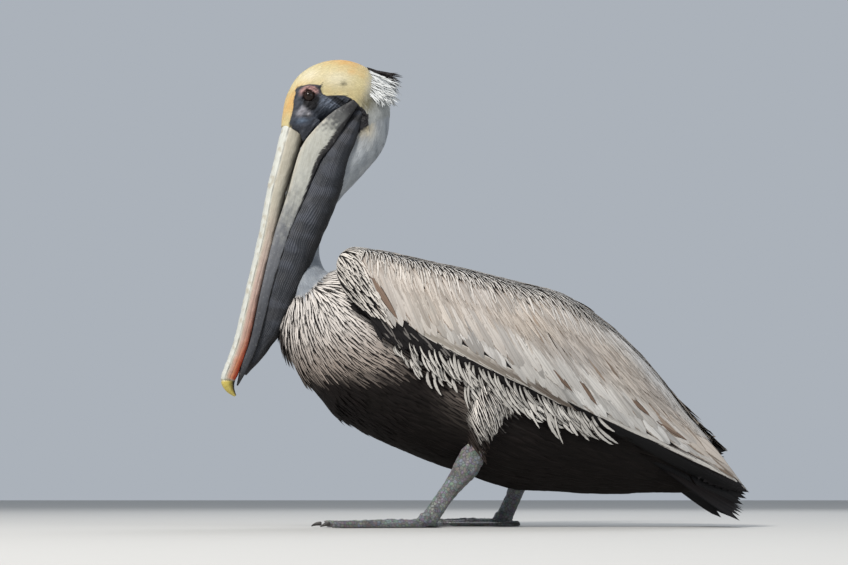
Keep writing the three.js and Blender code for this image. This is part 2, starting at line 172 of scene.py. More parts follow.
FLESH_NODES = [
    "head",
    "neck_upper",
    "neck_lower",
    "trunk",
    "wing_left",
    "wing_right",
    "thigh_left",
    "thigh_right",
]
WING_NODES = ["wing_left", "wing_right", "flight_feathers_left", "flight_feathers_right"]


def paint(red, green, blue):
    """A colour as a screen shows it, 0 to 255 each, turned into linear light."""
    c = np.array([red, green, blue], float) / 255
    return tuple(float(x) for x in np.where(c <= 0.04045, c / 12.92, ((c + 0.055) / 1.055) ** 2.4))


# ---- Sizes and colours that a user may change ----


def length_prop(name, description, default):
    return FloatProperty(name=name, description=description, default=default, min=0, unit="LENGTH")


def colour_prop(name, description, default):
    return FloatVectorProperty(
        name=name, description=description, default=default, size=3, min=0, max=1, subtype="COLOR"
    )


class PelicanBodySizes(bpy.types.PropertyGroup):
    skin_step: length_prop("Skin step", "Size of the skin's even grid", 0.0026)
    leg_step: length_prop("Leg step", "Size of the legs' even grid", 0.0011)
    head_depth: length_prop("Head coat", "Depth of the plush on the head", 0.0016)
    neck_depth: length_prop("Neck coat", "Depth of the plush on the neck", 0.0024)
    body_depth: length_prop("Body coat", "Depth of the feathers on the trunk", 0.0034)
    wing_depth: length_prop("Wing coat", "Depth of the coverts on the wing", 0.0022)


class PelicanColours(bpy.types.PropertyGroup):
    crown: colour_prop("Crown", "Pale yellow of the head", paint(192, 179, 134))
    crown_wash: colour_prop("Crown wash", "Orange wash on the crown and forehead", paint(202, 152, 80))
    # The neck is white; this grey white is partly painted shade over the whole neck.
    neck: colour_prop("Neck", "White of the neck", paint(170, 175, 179))
    silver: colour_prop("Silver", "Pale middle of a body feather", paint(206, 200, 194))
    edge: colour_prop("Feather edge", "Dark edge of a body feather", paint(20, 16, 16))
    belly: colour_prop("Belly", "Brown of the belly", paint(20, 16, 14))
    covert: colour_prop("Covert", "Silvery buff of the wing's coverts", paint(199, 193, 185))
    covert_shade: colour_prop("Covert shade", "Brown between the coverts", paint(118, 100, 84))
    bare_face: colour_prop("Bare face", "Slate skin of the face", paint(55, 59, 67))
    pouch: colour_prop("Pouch", "Slate skin of the pouch", paint(38, 41, 47))
    horn: colour_prop("Horn", "Cream horn of the bill", paint(199, 200, 192))
    leg: colour_prop("Leg", "Grey skin of the legs", paint(126, 130, 132))


# ---- Curves, sweeps and meshes, in millimetres until a mesh is made ----


def catmull(rows, t):
    """The values at t, from 0 to 1, of the smooth curves through evenly spaced rows."""
    rows = np.asarray(rows, float)
    last = len(rows) - 1
    i = np.clip(np.floor(t * last).astype(int), 0, last - 1)
    f = (t * last - i)[:, None]
    a, b, c, d = [rows[np.clip(i + k, 0, last)] for k in (-1, 0, 1, 2)]
    return b + 0.5 * f * (c - a + f * (2 * a - 5 * b + 4 * c - d + f * (3 * (b - c) + d - a)))


def unit(v):
    return v / np.maximum(np.linalg.norm(v, axis=-1, keepdims=True), 1e-12)


def step_between(low, high, x):
    """0 below low, 1 above high, and smooth between. High may be the smaller one."""
    t = np.clip((x - low) / (high - low), 0, 1)
    return t * t * (3 - 2 * t)


def in_trunk(s, h, y):
    """The point s along the trunk from the breast, h above its line and y to the side."""
    c, n = math.cos(BODY_TILT), math.sin(BODY_TILT)
    s, h, y = np.broadcast_arrays(s, h, y)
    return np.stack([BREAST_X + s * c + h * n, y * 1.0, BREAST_Z - s * n + h * c], -1)


def trunk_place(points):
    """The trunk's own s, h and y of points."""
    c, n = math.cos(BODY_TILT), math.sin(BODY_TILT)
    dx, dz = points[..., 0] - BREAST_X, points[..., 2] - BREAST_Z
    return dx * c - dz * n, dx * n + dz * c, points[..., 1]


def turn_head(points, share=1.0):
    """Points of a head that looks straight ahead, turned with the head."""
    a = HEAD_TURN * share
    dx, y = points[..., 0] - NAPE_X, points[..., 1]
    x = NAPE_X + dx * np.cos(a) - y * np.sin(a)
    return np.stack([x, dx * np.sin(a) + y * np.cos(a), points[..., 2] + 0 * x], -1)


def sweep(rows, rings, sides, power=2.0, start=0.0, stop=1.0):
    """Rings of points round the line through the rows. Angle 90 degrees is the crown's side."""
    t = np.linspace(start, stop, rings)
    v = catmull(rows, t)
    ahead = catmull(rows, np.minimum(t + 0.01, 1)) - catmull(rows, np.maximum(t - 0.01, 0))
    along = unit(ahead[:, [0, 4, 1]])
    up = unit(np.cross(along, [0.0, 1.0, 0.0]))
    side = np.cross(up, along)
    angle = 2 * np.pi * np.arange(sides) / sides
    c, s = np.cos(angle), np.sin(angle)
    wide = (np.sign(c) * np.abs(c) ** (2 / power))[None, :, None] * v[:, 3, None, None]
    deep = (np.sign(s) * np.abs(s) ** (2 / power))[None, :, None] * v[:, 2, None, None]
    points = v[:, None, [0, 4, 1]] + side[:, None] * wide + up[:, None] * deep
    return turn_head(points, v[:, 5, None])


def on_side(rows, side):
    """The rows of a left or right piece from rows whose y is measured outwards."""
    return [[x, z, deep, wide, y * side, turn] for x, z, deep, wide, y, turn in rows]


def tube_faces(rings, sides):
    """The sides of a tube of rings and the fans that close its ends at two added points."""
    r, i = np.meshgrid(np.arange(rings - 1), np.arange(sides), indexing="ij")
    a = (r * sides + i).ravel()
    b = (r * sides + (i + 1) % sides).ravel()
    i = np.arange(sides)
    j = (i + 1) % sides
    first = np.full(sides, rings * sides)
    end = (rings - 1) * sides
    return [
        np.stack([a, b, b + sides, a + sides], 1),
        np.stack([first, j, i], 1),
        np.stack([first + 1, end + i, end + j], 1),
    ]


def tube(points):
    """Points and outward faces of a closed tube through rings of points."""
    rings, sides = points.shape[:2]
    flat = np.concatenate([points.reshape(-1, 3), points[:1].mean(1), points[-1:].mean(1)])
    faces = tube_faces(rings, sides)
    quads = faces[0]
    a, b, c = (flat[quads[:, k]] for k in (0, 1, 2))
    volume = np.einsum("ij,ij->", a - flat.mean(0), np.cross(b - flat.mean(0), c - flat.mean(0)))
    if volume < 0:
        faces = [f[:, ::-1] for f in faces]
    return flat, faces


def mesh_from(name, points, faces):
    """A smooth-shaded mesh, in metres and over the bird's middle, from points and arrays of faces."""
    mesh = bpy.data.meshes.new(name)
    points = (points + [CENTRE_X, 0, 0]) * 0.001
    corners = np.concatenate([f.ravel() for f in faces])
    sizes = np.concatenate([np.full(len(f), f.shape[1]) for f in faces])
    mesh.vertices.add(len(points))
    mesh.vertices.foreach_set("co", points.astype(np.float32).ravel())
    mesh.loops.add(len(corners))
    mesh.loops.foreach_set("vertex_index", corners.astype(np.int32))
    mesh.polygons.add(len(sizes))
    starts = np.concatenate([[0], np.cumsum(sizes)[:-1]])
    mesh.polygons.foreach_set("loop_start", starts.astype(np.int32))
    mesh.update(calc_edges=True)
    mesh.shade_smooth()
    if mesh.validate():
        raise RuntimeError(f"{name} was made with faulty faces")
    return mesh


def points_of(mesh):
    """A mesh's points in millimetres, measured as the tables above are."""
    co = np.empty(len(mesh.vertices) * 3, np.float32)
    mesh.vertices.foreach_get("co", co)
    return co.reshape(-1, 3).astype(float) * 1000 - [CENTRE_X, 0, 0]


def set_points(mesh, points):
    co = (points + [CENTRE_X, 0, 0]) * 0.001
    mesh.vertices.foreach_set("co", co.astype(np.float32).ravel())
    mesh.update()


def normals_of(mesh):
    n = np.empty(len(mesh.vertices) * 3, np.float32)
    mesh.vertices.foreach_get("normal", n)
    return n.reshape(-1, 3).astype(float)


def edges_of(mesh):
    e = np.empty(len(mesh.edges) * 2, np.int32)
    mesh.edges.foreach_get("vertices", e)
    return e.reshape(-1, 2)


def neighbour_mean(values, edges):
    """Each point's mean of its neighbours' values."""
    total = np.zeros_like(values)
    count = np.bincount(edges.ravel(), minlength=len(values))
    for k in range(values.shape[1]):
        total[:, k] = np.bincount(edges[:, 0], values[edges[:, 1], k], len(values))
        total[:, k] += np.bincount(edges[:, 1], values[edges[:, 0], k], len(values))
    return total / np.maximum(count, 1)[:, None]


def relax(points, edges, times, share=1.0):
    """Evens out small facets without shrinking, by the share of each point."""
    share = np.broadcast_to(share, len(points))[:, None]
    for _ in range(times):
        for pull in (0.5, -0.52):
            points = points + pull * share * (neighbour_mean(points, edges) - points)
    return points


def set_attribute(mesh, name, values, kind="FLOAT"):
    """Stores one value for each point: FLOAT, FLOAT_VECTOR or FLOAT_COLOR."""
    made = mesh.attributes.new(name, kind, "POINT")
    values = np.asarray(values, np.float32)
    if kind == "FLOAT_COLOR":
        values = np.concatenate([values, np.ones((len(values), 1), np.float32)], 1)
        made.data.foreach_set("color", values.ravel())
    elif kind == "FLOAT_VECTOR":
        made.data.foreach_set("vector", values.ravel())
    else:
        made.data.foreach_set("value", values.ravel())


def get_attribute(mesh, name, size):
    found = mesh.attributes[name]
    values = np.empty(len(mesh.vertices) * size, np.float32)
    key = {1: "value", 2: "vector", 3: "vector", 4: "color"}[size]
    found.data.foreach_get(key, values)
    return values.reshape(-1, size)


def piece(name, mesh, replaces=(), material=None):
    """Puts a finished mesh into the scene as a piece of the bird."""
    made = bpy.data.objects.new(name, mesh)
    bpy.context.scene.collection.objects.link(made)
    if material:
        mesh.materials.clear()
        mesh.materials.append(material)
    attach(made, "root")
    if replaces:
        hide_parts(*replaces)
    return made


def merged_node(name, grow=0.0):
    """A copy of a CAD node's mesh with its loose triangles merged, grown by some millimetres."""
    bm = bmesh.new()
    bm.from_mesh(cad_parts[name].data)
    bmesh.ops.remove_doubles(bm, verts=bm.verts, dist=1e-5)
    bm.normal_update()
    for vert in bm.verts:
        vert.co += vert.normal * grow * 0.001
    mesh = bpy.data.meshes.new(name + "_merged")
    bm.to_mesh(mesh)
    bm.free()
    return mesh


def joined(meshes):
    bm = bmesh.new()
    for mesh in meshes:
        bm.from_mesh(mesh)
    made = bpy.data.meshes.new("joined")
    bm.to_mesh(made)
    bm.free()
    return made


def applied(mesh, kind, **settings):
    """The mesh that one modifier makes of a mesh."""
    holder = bpy.data.objects.new("holder", mesh)
    bpy.context.scene.collection.objects.link(holder)
    modifier = holder.modifiers.new("made", kind)
    for name, value in settings.items():
        setattr(modifier, name, value)
    graph = bpy.context.evaluated_depsgraph_get()
    made = bpy.data.meshes.new_from_object(holder.evaluated_get(graph))
    bpy.data.objects.remove(holder)
    return made


def ripples(points, size, seed, waves=7):
    """A smooth, repeatable unevenness from -1 to 1 over points, with features of a size."""
    rng = np.random.default_rng(seed)
    total = np.zeros(points.shape[:-1])
    for _ in range(waves):
        way = unit(rng.normal(size=3)) * rng.uniform(0.6, 1.6) * 2 * np.pi / size
        total += np.sin(points @ way + rng.uniform(0, 6.28))
    return total / math.sqrt(waves) * 0.9


# ---- Node trees ----


class Value:
    """A socket that can be used in sums."""

    def __init__(self, graph, socket):
        self.graph = graph
        self.socket = socket

    def maths(self, operation, *others):
        return self.graph.node("ShaderNodeMath", {"operation": operation}, dict(enumerate((self, *others))))

    def __add__(self, other):
        return self.maths("ADD", other)

    def __sub__(self, other):
        return self.maths("SUBTRACT", other)

    def __mul__(self, other):
        return self.maths("MULTIPLY", other)

    def __truediv__(self, other):
        return self.maths("DIVIDE", other)

    def __pow__(self, other):
        return self.maths("POWER", other)

    def __radd__(self, other):
        return self + other

    def __rmul__(self, other):
        return self * other

    def __rsub__(self, other):
        return (self * -1.0) + other

    def __rtruediv__(self, other):
        return self**-1.0 * other

    def __abs__(self):
        return self.maths("ABSOLUTE")

    def low(self, other):
        return self.maths("MINIMUM", other)

    def high(self, other):
        return self.maths("MAXIMUM", other)

    def smooth(self, low, high):
        """0 below low, 1 above high, and smooth between."""
        settings = {"interpolation_type": "SMOOTHSTEP"}
        return self.graph.node("ShaderNodeMapRange", settings, {"Value": self, "From Min": low, "From Max": high})


class Graph:
    """Adds nodes to a tree."""

    def __init__(self, tree):
        self.tree = tree

    def node(self, kind, settings=None, sockets=None, out=0):
        """One node: its settings are made first, then the values or links of its sockets."""
        made = self.tree.nodes.new(kind)
        for name, value in (settings or {}).items():
            if name == "stops":
                self.set_stops(made.color_ramp, value)
            else:
                setattr(made, name, value)
        for key, value in (sockets or {}).items():
            self.put(made.inputs[key], value)
        return Value(self, made.outputs[out]) if len(made.outputs) else made

    def set_stops(self, ramp, stops):
        while len(ramp.elements) < len(stops):
            ramp.elements.new(0.5)
        for element, (place, colour) in zip(ramp.elements, stops):
            element.position = place
            element.color = (*colour, 1)

    def put(self, socket, value):
        if isinstance(value, Value):
            self.tree.links.new(value.socket, socket)
        elif socket.type == "RGBA":
            socket.default_value = (*tuple(value)[:3], 1)
        else:
            socket.default_value = value

    def mix(self, factor, a, b, blend="MIX"):
        """A colour between a and b."""
        settings = {"data_type": "RGBA", "blend_type": blend}
        made = self.tree.nodes.new("ShaderNodeMix")
        for name, value in settings.items():
            setattr(made, name, value)
        self.put(made.inputs[0], factor)
        self.put(made.inputs[6], a)
        self.put(made.inputs[7], b)
        return Value(self, made.outputs[2])

    def attribute(self, name, part="Color"):
        made = self.node("ShaderNodeAttribute", {"attribute_name": name})
        return Value(self, made.socket.node.outputs[part])

    def noise(self, where, scale, detail=3.0, roughness=0.55, kind="ShaderNodeTexNoise"):
        sockets = {"Vector": where, "Scale": scale, "Detail": detail, "Roughness": roughness}
        return self.node(kind, None, sockets)

    def stretched(self, where, scale):
        return self.node("ShaderNodeMapping", None, {"Vector": where, "Scale": scale})


def new_material(name):
    """An empty material, its Graph, its shader node and the object's coordinates."""
    material = bpy.data.materials.new(name)
    material.use_nodes = True
    graph = Graph(material.node_tree)
    shader = material.node_tree.nodes["Principled BSDF"]
    where = Value(graph, graph.node("ShaderNodeTexCoord").socket.node.outputs["Object"])
    return material, graph, shader, where


def finish_shader(graph, shader, colour, roughness, bump=None, strength=0.3, depth=0.0005, **constants):
    """Links what varies and sets the constants on the shader's own sockets."""
    graph.put(shader.inputs["Base Color"], colour)
    graph.put(shader.inputs["Roughness"], roughness)
    if bump:
        sockets = {"Height": bump, "Strength": strength, "Distance": depth}
        graph.put(shader.inputs["Normal"], graph.node("ShaderNodeBump", None, sockets))
    for name, value in constants.items():
        shader.inputs[name.replace("_", " ")].default_value = value


# ---- The skin: one closed body under the coat ----

FACE_OUTLINE = [
    (-211.2, 478.7), (-213.4, 465.9), (-214.2, 454.7), (-216.4, 445.0), (-218.6, 438.6),
    (-215.5, 432.4), (-210.8, 429.3), (-207.5, 416.8), (-204.4, 413.7), (-175.0, 398.0),
    (-150.0, 420.0), (-131.0, 438.0), (-131.5, 450.0), (-139.5, 458.5), (-147.0, 464.5),
    (-152.5, 468.0), (-158.5, 470.0), (-165.5, 470.0), (-178.1, 469.1), (-182.8, 471.7),
    (-184.4, 476.5), (-181.6, 483.3), (-182.1, 485.4), (-185.2, 480.5), (-189.2, 481.5),
    (-197.0, 482.1), (-204.9, 480.5),
]  # fmt: skip

REGIONS = ["head", "neck", "trunk", "wing", "thigh"]
REGION_OF = {
    "head": 0,
    "neck_upper": 1,
    "neck_lower": 1,
    "trunk": 2,
    "wing_left": 3,
    "wing_right": 3,
    "flight_feathers_left": 3,
    "flight_feathers_right": 3,
    "thigh_left": 4,
    "thigh_right": 4,
}

skins = {}


def face_distance(x, z):
    """Millimetres inside (above 0) or outside the bare face's outline, seen from the side."""
    outline = np.array(FACE_OUTLINE)
    inside = np.zeros(x.shape, bool)
    nearest = np.full(x.shape, 1e9)
    for (ax, az), (bx, bz) in zip(outline, np.roll(outline, -1, 0)):
        dx, dz = bx - ax, bz - az
        t = np.clip(((x - ax) * dx + (z - az) * dz) / (dx * dx + dz * dz), 0, 1)
        nearest = np.minimum(nearest, np.hypot(x - ax - t * dx, z - az - t * dz))
        crosses = (az > z) != (bz > z)
        at = ax + (z - az) / (dz if abs(dz) > 1e-9 else 1e-9) * dx
        inside ^= crosses & (x < at)
    return np.where(inside, nearest, -nearest)


def head_places(points):
    """Points as they would be on a head that looks straight ahead."""
    return turn_head(points, -1.0)


def bareness(points):
    """1 on the bare face and 0 on the feathered skin."""
    p = head_places(points)
    near = face_distance(p[:, 0], p[:, 2])
    sideways = step_between(3.0, 9.0, np.abs(p[:, 1]))
    return step_between(-0.7, 0.7, near) * sideways * step_between(405, 411, p[:, 2])


def region_shares(points):
    """How far each point belongs to each region, from the nearest solids."""
    distance = np.full((len(points), len(REGIONS)), 1e9)
    for name, region in REGION_OF.items():
        mesh = merged_node(name)
        tree = BVHTree.FromPolygons(
            [tuple(p) for p in points_of(mesh)], [tuple(f.vertices) for f in mesh.polygons]
        )
        found = np.array([tree.find_nearest(tuple(p))[3] for p in points])
        distance[:, region] = np.minimum(distance[:, region], found)
    shares = (distance == distance.min(1, keepdims=True)).astype(float)
    return shares / shares.sum(1, keepdims=True)


def raw_body(step):
    """Trunk, neck, head, wings and thighs as one closed surface."""
    meshes = [
        mesh_from("trunk_core", *tube(sweep(TRUNK_LINE, 90, 80, 2.15))),
        mesh_from("head_core", *tube(sweep(HEAD_AND_NECK, 160, 72, 2.0))),
    ]
    for side in (LEFT, RIGHT):
        meshes.append(mesh_from("cheek", *tube(sweep(on_side(CHEEK, side), 30, 24, 2.2))))
    for name in [*WING_NODES, "thigh_left", "thigh_right"]:
        meshes.append(merged_node(name, 0.45))
    return applied(joined(meshes), "REMESH", mode="VOXEL", voxel_size=step, adaptivity=0.0)


def trunk_line():
    rows = []
    for s, h, deep, wide in TRUNK:
        x, _, z = in_trunk(s, h, 0.0)
        rows.append([x, z, deep, wide, 0, 0])
    return rows


TRUNK_LINE = trunk_line()


def sunk(mesh, points, depth, share=0.3):
    """Moves points in along their normals by a depth, or by a share of the thickness there."""
    normals = normals_of(mesh)
    tree = BVHTree.FromPolygons([tuple(p) for p in points], [tuple(f.vertices) for f in mesh.polygons])
    moved = points.copy()
    for i, (p, n) in enumerate(zip(points, normals)):
        hit = tree.ray_cast(tuple(p - n * 0.05), tuple(-n))
        thickness = hit[3] if hit[0] is not None else 100.0
        moved[i] = p - n * min(depth[i], share * thickness)
    return moved


def refined_face(mesh):
    """Splits the faces round the bare face, and again round the eyes."""
    bm = bmesh.new()
    bm.from_mesh(mesh)
    for reach in (5.0, 1.2, None):
        points = np.array([v.co for v in bm.verts]) * 1000 - [CENTRE_X, 0, 0]
        p = head_places(points)
        if reach is None:
            wanted = np.hypot(p[:, 0] - EYE[0], p[:, 2] - EYE[2]) < 10.5
        else:
            wanted = face_distance(p[:, 0], p[:, 2]) > -reach
        wanted &= (np.abs(p[:, 1]) > 8) & (p[:, 2] > 408) & (p[:, 0] < -118)
        wanted &= gape_line(p) > -9
        bm.verts.ensure_lookup_table()
        edges = [e for e in bm.edges if wanted[e.verts[0].index] and wanted[e.verts[1].index]]
        bmesh.ops.subdivide_edges(bm, edges=edges, cuts=1, use_grid_fill=True)
        bm.verts.index_update()
    made = bpy.data.meshes.new("skin_body")
    bm.to_mesh(made)
    bm.free()
    return made


def gape_line(p):
    """Millimetres above the line from the lower bill's upper edge back to the gape."""
    return (p[:, 0] + 160) * 0.52 + (p[:, 2] - 462) * 0.85


def eye_axis(side):
    """The eye's centre and outward axis on a head that looks straight ahead."""
    return EYE * [1, side, 1], unit(np.array([-0.13, side * 1.0, 0.05]))


def bump_at(p, x, z, radius, height):
    """A soft knob on the side of the face."""
    return height * np.exp(-(((p[:, 0] - x) ** 2 + (p[:, 2] - z) ** 2) / (radius * radius)))


def carve_face(points):
    """Lids round the eyes, knobs on the lores, and the fold above the gape."""
    p = head_places(points)
    for side in (LEFT, RIGHT):
        centre, axis = eye_axis(side)
        offset = p - centre
        height = offset @ axis
        flat = offset - height[:, None] * axis
        rho = np.linalg.norm(flat, axis=1)
        turn = np.arctan2(flat[:, 2], -flat[:, 0])
        opening = 6.1 + 0.35 * np.cos(2 * turn - 0.5)
        near = (rho < 16) & (height > -6)
        ball = np.sqrt(np.maximum(EYE_RADIUS**2 - rho**2, 0))
        fat = 0.75 + 0.45 * step_between(-0.6, 0.9, np.sin(turn + 0.35))
        ring = np.exp(-(((rho - opening - 1.0) / 1.25) ** 2))
        second = np.exp(-(((rho - opening - 3.9) / 1.0) ** 2)) * 0.55 * fat
        skirt = height + (3.6 - height) * step_between(13.0, 6.8, rho) * 0.6
        lid = skirt + ring * 1.35 * fat + second
        sunken = np.minimum(ball - 1.8, height)
        wanted = np.where(rho < opening, sunken, np.maximum(lid, height))
        rise = np.where(near, wanted - height, 0)
        p = p + rise[:, None] * axis
    sideways = np.sign(p[:, 1]) * step_between(8, 14, np.abs(p[:, 1]))
    lift = bump_at(p, -201.5, 453.5, 3.0, 1.5) + bump_at(p, -196.5, 450.0, 2.6, 1.2)
    lift += bump_at(p, -206.5, 450.5, 2.8, 1.1) + bump_at(p, -204.0, 443.5, 3.2, 1.0)
    lift += bump_at(p, -192.0, 455.5, 2.2, 0.8) + bump_at(p, -198.0, 442.0, 2.6, 0.8)
    lift -= bump_at(p, -199.5, 447.0, 1.7, 1.3)
    inside = step_between(0.0, 3.0, face_distance(p[:, 0], p[:, 2]))
    lift += 0.35 * inside * ripples(p * [1.0, 0.4, 1.3], 4.2, 11)
    crease = np.exp(-((gape_line(p) / 1.3) ** 2))
    lift -= 1.1 * inside * crease * step_between(-186, -176, p[:, 0])
    p[:, 1] += sideways * lift
    return turn_head(p)


# ---- Markings, the same on skin and coat ----


def blend(a, b, share):
    return np.asarray(a) * (1 - share[:, None]) + np.asarray(b) * share[:, None]


def spot(p, x, z, wide, high, lean=0.0):
    """1 in the middle of a soft oval on the side of the head, 0 outside it."""
    c, s = math.cos(math.radians(lean)), math.sin(math.radians(lean))
    dx, dz = p[:, 0] - x, p[:, 2] - z
    r = ((dx * c + dz * s) / wide) ** 2 + ((dz * c - dx * s) / high) ** 2
    return np.exp(-r)


def head_colour(points, colours):
    p = head_places(points)
    made = np.tile(np.array(colours.crown[:]), (len(p), 1))
    wash = spot(p, -152, 514, 26, 9, 4) + 0.9 * spot(p, -214, 462, 9, 20, -35)
    wash += 0.5 * spot(p, -150, 498, 12, 5) + 0.12 * ripples(p, 9, 3)
    made = blend(made, colours.crown_wash[:], np.clip(wash, 0, 1) * 0.85)
    pale = spot(p, -168, 488, 16, 10) + spot(p, -198, 492, 12, 8, 30)
    made = blend(made, paint(210, 202, 175), np.clip(pale, 0, 1) * 0.85)
    ear = spot(p, -161, 483, 3.5, 2.5)
    made = blend(made, paint(84, 80, 58), np.clip(ear, 0, 1) * 0.9)
    # The back of the head turns grey: partly its own grey, partly painted shade on the side away from the light.
    back = step_between(-143, -124, p[:, 0] + 0.25 * (480 - p[:, 2]))
    made = blend(made, paint(152, 155, 154), back)
    return blend(made, paint(92, 87, 60), behind_gape(p))


def behind_gape(p):
    """Where the head's feathers are olive, above and behind the gape."""
    return spot(p, -135, 461, 9, 15, -30) * np.clip(0.8 + 0.3 * ripples(p, 4, 23), 0, 1)


def neck_colour(points, colours):
    made = np.tile(np.array(colours.neck[:]), (len(points), 1))
    warm = np.exp(-(((points[:, 0] + 133) / 12) ** 2 + ((points[:, 2] - 438) / 14) ** 2))
    made = blend(made, paint(170, 150, 98), warm * 0.75)
    # Blue-grey patches over the white neck: partly grey in the plumage, partly painted shade.
    grey = 0.5 + 0.6 * ripples(points, 12, 5)
    made = blend(made, paint(122, 129, 138), np.clip(grey, 0, 1) * 0.55)
    made = blend(made, paint(92, 87, 60), behind_gape(head_places(points)))
    # Darker blue-grey low on the neck: painted shadow of the pouch.
    return blend(made, paint(104, 112, 124), step_between(330, 285, points[:, 2]) * 0.5)


def wing_edge(s):
    """Height of the wing's lower edge above the trunk's line."""
    return np.interp(s, [31, 37, 49, 60, 77, 94, 114, 139, 163, 200], [85, 72, 59, 54, 49, 43, 36, 30, 27, 25])


def trunk_colours(points, normals, colours):
    """The middle and the edge of the trunk's feathers, and how broad the pale middle is."""
    s, h, y = trunk_place(points)
    x, z = points[:, 0], points[:, 2]
    middle = np.tile(np.array(colours.silver[:]), (len(points), 1))
    edge = np.tile(np.array(colours.edge[:]), (len(points), 1))
    low = step_between(181, 156, z + 5 * ripples(points, 25, 8) - 0.16 * np.maximum(x + 120, 0))
    low = low * (1 - 0.9 * np.exp(-(((x + 26) / 24) ** 2 + ((z - 152) / 26) ** 2)))
    brownish = step_between(245, 175, z)
    middle = blend(middle, paint(126, 110, 98), brownish * 0.75)
    middle = blend(middle, colours.belly[:], low)
    edge = blend(edge, paint(24, 19, 18), low)
    # The breast's very front, below the pouch, is darker: partly its own dark feathers, partly painted shadow of the
    # bill and pouch.
    front = step_between(-0.80, -0.93, normals[:, 0]) * step_between(290, 270, z)
    middle = blend(middle, paint(44, 38, 36), front * 0.9)
    top = step_between(60, 85, h) * step_between(70, 120, s)
    middle = blend(middle, paint(150, 140, 128), top * 0.5)
    # Painted shadow: the breast's feathers just below the wing's front edge are darkened as if in its shade.
    shadow_below_wing = step_between(-12, -7, h - wing_edge(s)) * step_between(205, 190, s)
    middle = blend(middle, colours.edge[:], shadow_below_wing * 0.8)
    throat = step_between(262, 276, z + 0.35 * (x + 150)) * step_between(-120, -160, x)
    middle = blend(middle, paint(206, 206, 203), throat)
    edge = blend(edge, paint(120, 118, 116), throat * step_between(275, 300, z))
    streak = 0.58 + 0.1 * throat - 0.14 * brownish
    return middle, edge, streak


def face_colour(points, colours):
    """Slate, with rosy lids, pale knobs that are partly painted highlight, and black painted shadow in the lores' pit
    and in the fold along the gape.
    """
    p = head_places(points)
    made = np.tile(np.array(colours.bare_face[:]), (len(p), 1))
    made = blend(made, paint(104, 112, 126), spot(p, -177, 462, 12, 7, -25) * 0.95)
    made = blend(made, paint(44, 50, 62), np.clip(spot(p, -203, 438, 9, 12), 0, 1))
    # Pale knobs on the lores: partly their own paler skin, partly painted highlight on their raised tops.
    knobs = spot(p, -202.5, 453.5, 3.6, 3.2) + spot(p, -207, 449, 3.4, 3) + spot(p, -197, 449, 2.8, 2.2)
    made = blend(made, paint(168, 166, 172), np.clip(knobs, 0, 1) * 0.85)
    made = blend(made, paint(104, 120, 140), spot(p, -205, 441, 6, 2.6) * 0.6)
    # Painted shadow in the pit between the knobs.
    made = blend(made, paint(16, 16, 20), spot(p, -199, 446.0, 4.4, 1.9) * 0.95)
    made = blend(made, paint(40, 42, 48), step_between(440, 432, p[:, 2]) * 0.8)
    ball = np.hypot((p[:, 0] + 195) / 9.4, (p[:, 2] - 463.5) / 11.8)
    made = blend(made, paint(18, 16, 19), step_between(1.05, 0.85, ball))
    rho = np.hypot(p[:, 0] - EYE[0], p[:, 2] - EYE[2])
    turn = np.arctan2(p[:, 2] - EYE[2], -(p[:, 0] - EYE[0]))
    rosy = step_between(13.5, 9.5, rho) * step_between(-0.15, 0.65, np.sin(turn + 0.1))
    made = blend(made, paint(160, 124, 119), rosy)
    rings = rosy * (0.5 + 0.5 * np.cos(rho * 2.1)) * step_between(5.5, 7, rho)
    made = blend(made, paint(104, 70, 72), rings * 0.55)
    black = step_between(12.0, 9.5, rho + 1.5 * np.cos(turn)) * step_between(0.25, -0.45, np.sin(turn + 0.15))
    made = blend(made, paint(14, 11, 13), black)
    made = blend(made, paint(20, 16, 18), step_between(6.6, 5.7, rho))
    # Painted shadow: near-black along the fold above the gape.
    gape = step_between(4.2, 1.2, np.abs(gape_line(p) + 1)) * step_between(-196, -182, p[:, 0])
    made = blend(made, paint(20, 20, 23), gape * 0.9)
    rim = step_between(3.2, 0.6, face_distance(p[:, 0], p[:, 2]))
    made = blend(made, paint(40, 42, 48), rim * 0.7)
    dark_rear = step_between(-160, -150, p[:, 0] + 0.4 * (462 - p[:, 2]))
    made = blend(made, paint(22, 20, 22), dark_rear * 0.9)
    return np.clip(made * (1 + 0.3 * ripples(p, 3.2, 21))[:, None], 0, 1)


def lie_of_coat(points, normals, shares):
    """The way that the feathers point, along the surface."""
    s, h, _ = trunk_place(points)
    steep = 74 - 38 * step_between(-20, 95, s) - 10 * step_between(130, 420, s)
    steep = steep - 10 * step_between(40, -60, h) * step_between(10, 60, s)
    steep = steep + (26 - steep) * step_between(42, 64, h)
    a = np.radians(steep)
    trunk = np.stack([np.cos(a), 0 * a, -np.sin(a)], -1)
    line = catmull(HEAD_AND_NECK, np.linspace(0, 1, 300))[:, [0, 4, 1]]
    line = np.concatenate([turn_head(line[:200]), line[200:]])
    way = unit(np.gradient(line, axis=0))
    tree = KDTree(len(line))
    for i, p in enumerate(line):
        tree.insert(tuple(p), i)
    tree.balance()
    nearest = np.array([tree.find(tuple(p))[1] for p in points])
    neck = way[nearest]
    down = np.tile(unit(np.array([0.34, 0.0, -1.0])), (len(points), 1))
    along = np.tile(np.array([math.cos(BODY_TILT), 0, -math.sin(BODY_TILT)]), (len(points), 1))
    head_share = shares[:, 0] + shares[:, 1]
    lie = neck * head_share[:, None] + trunk * shares[:, 2:3] + along * shares[:, 3:4] + down * shares[:, 4:5]
    lie = lie - normals * np.einsum("ij,ij->i", lie, normals)[:, None]
    return unit(lie)


def softened(values, edges, times):
    for _ in range(times):
        values = 0.4 * values + 0.6 * neighbour_mean(values, edges)
    return values


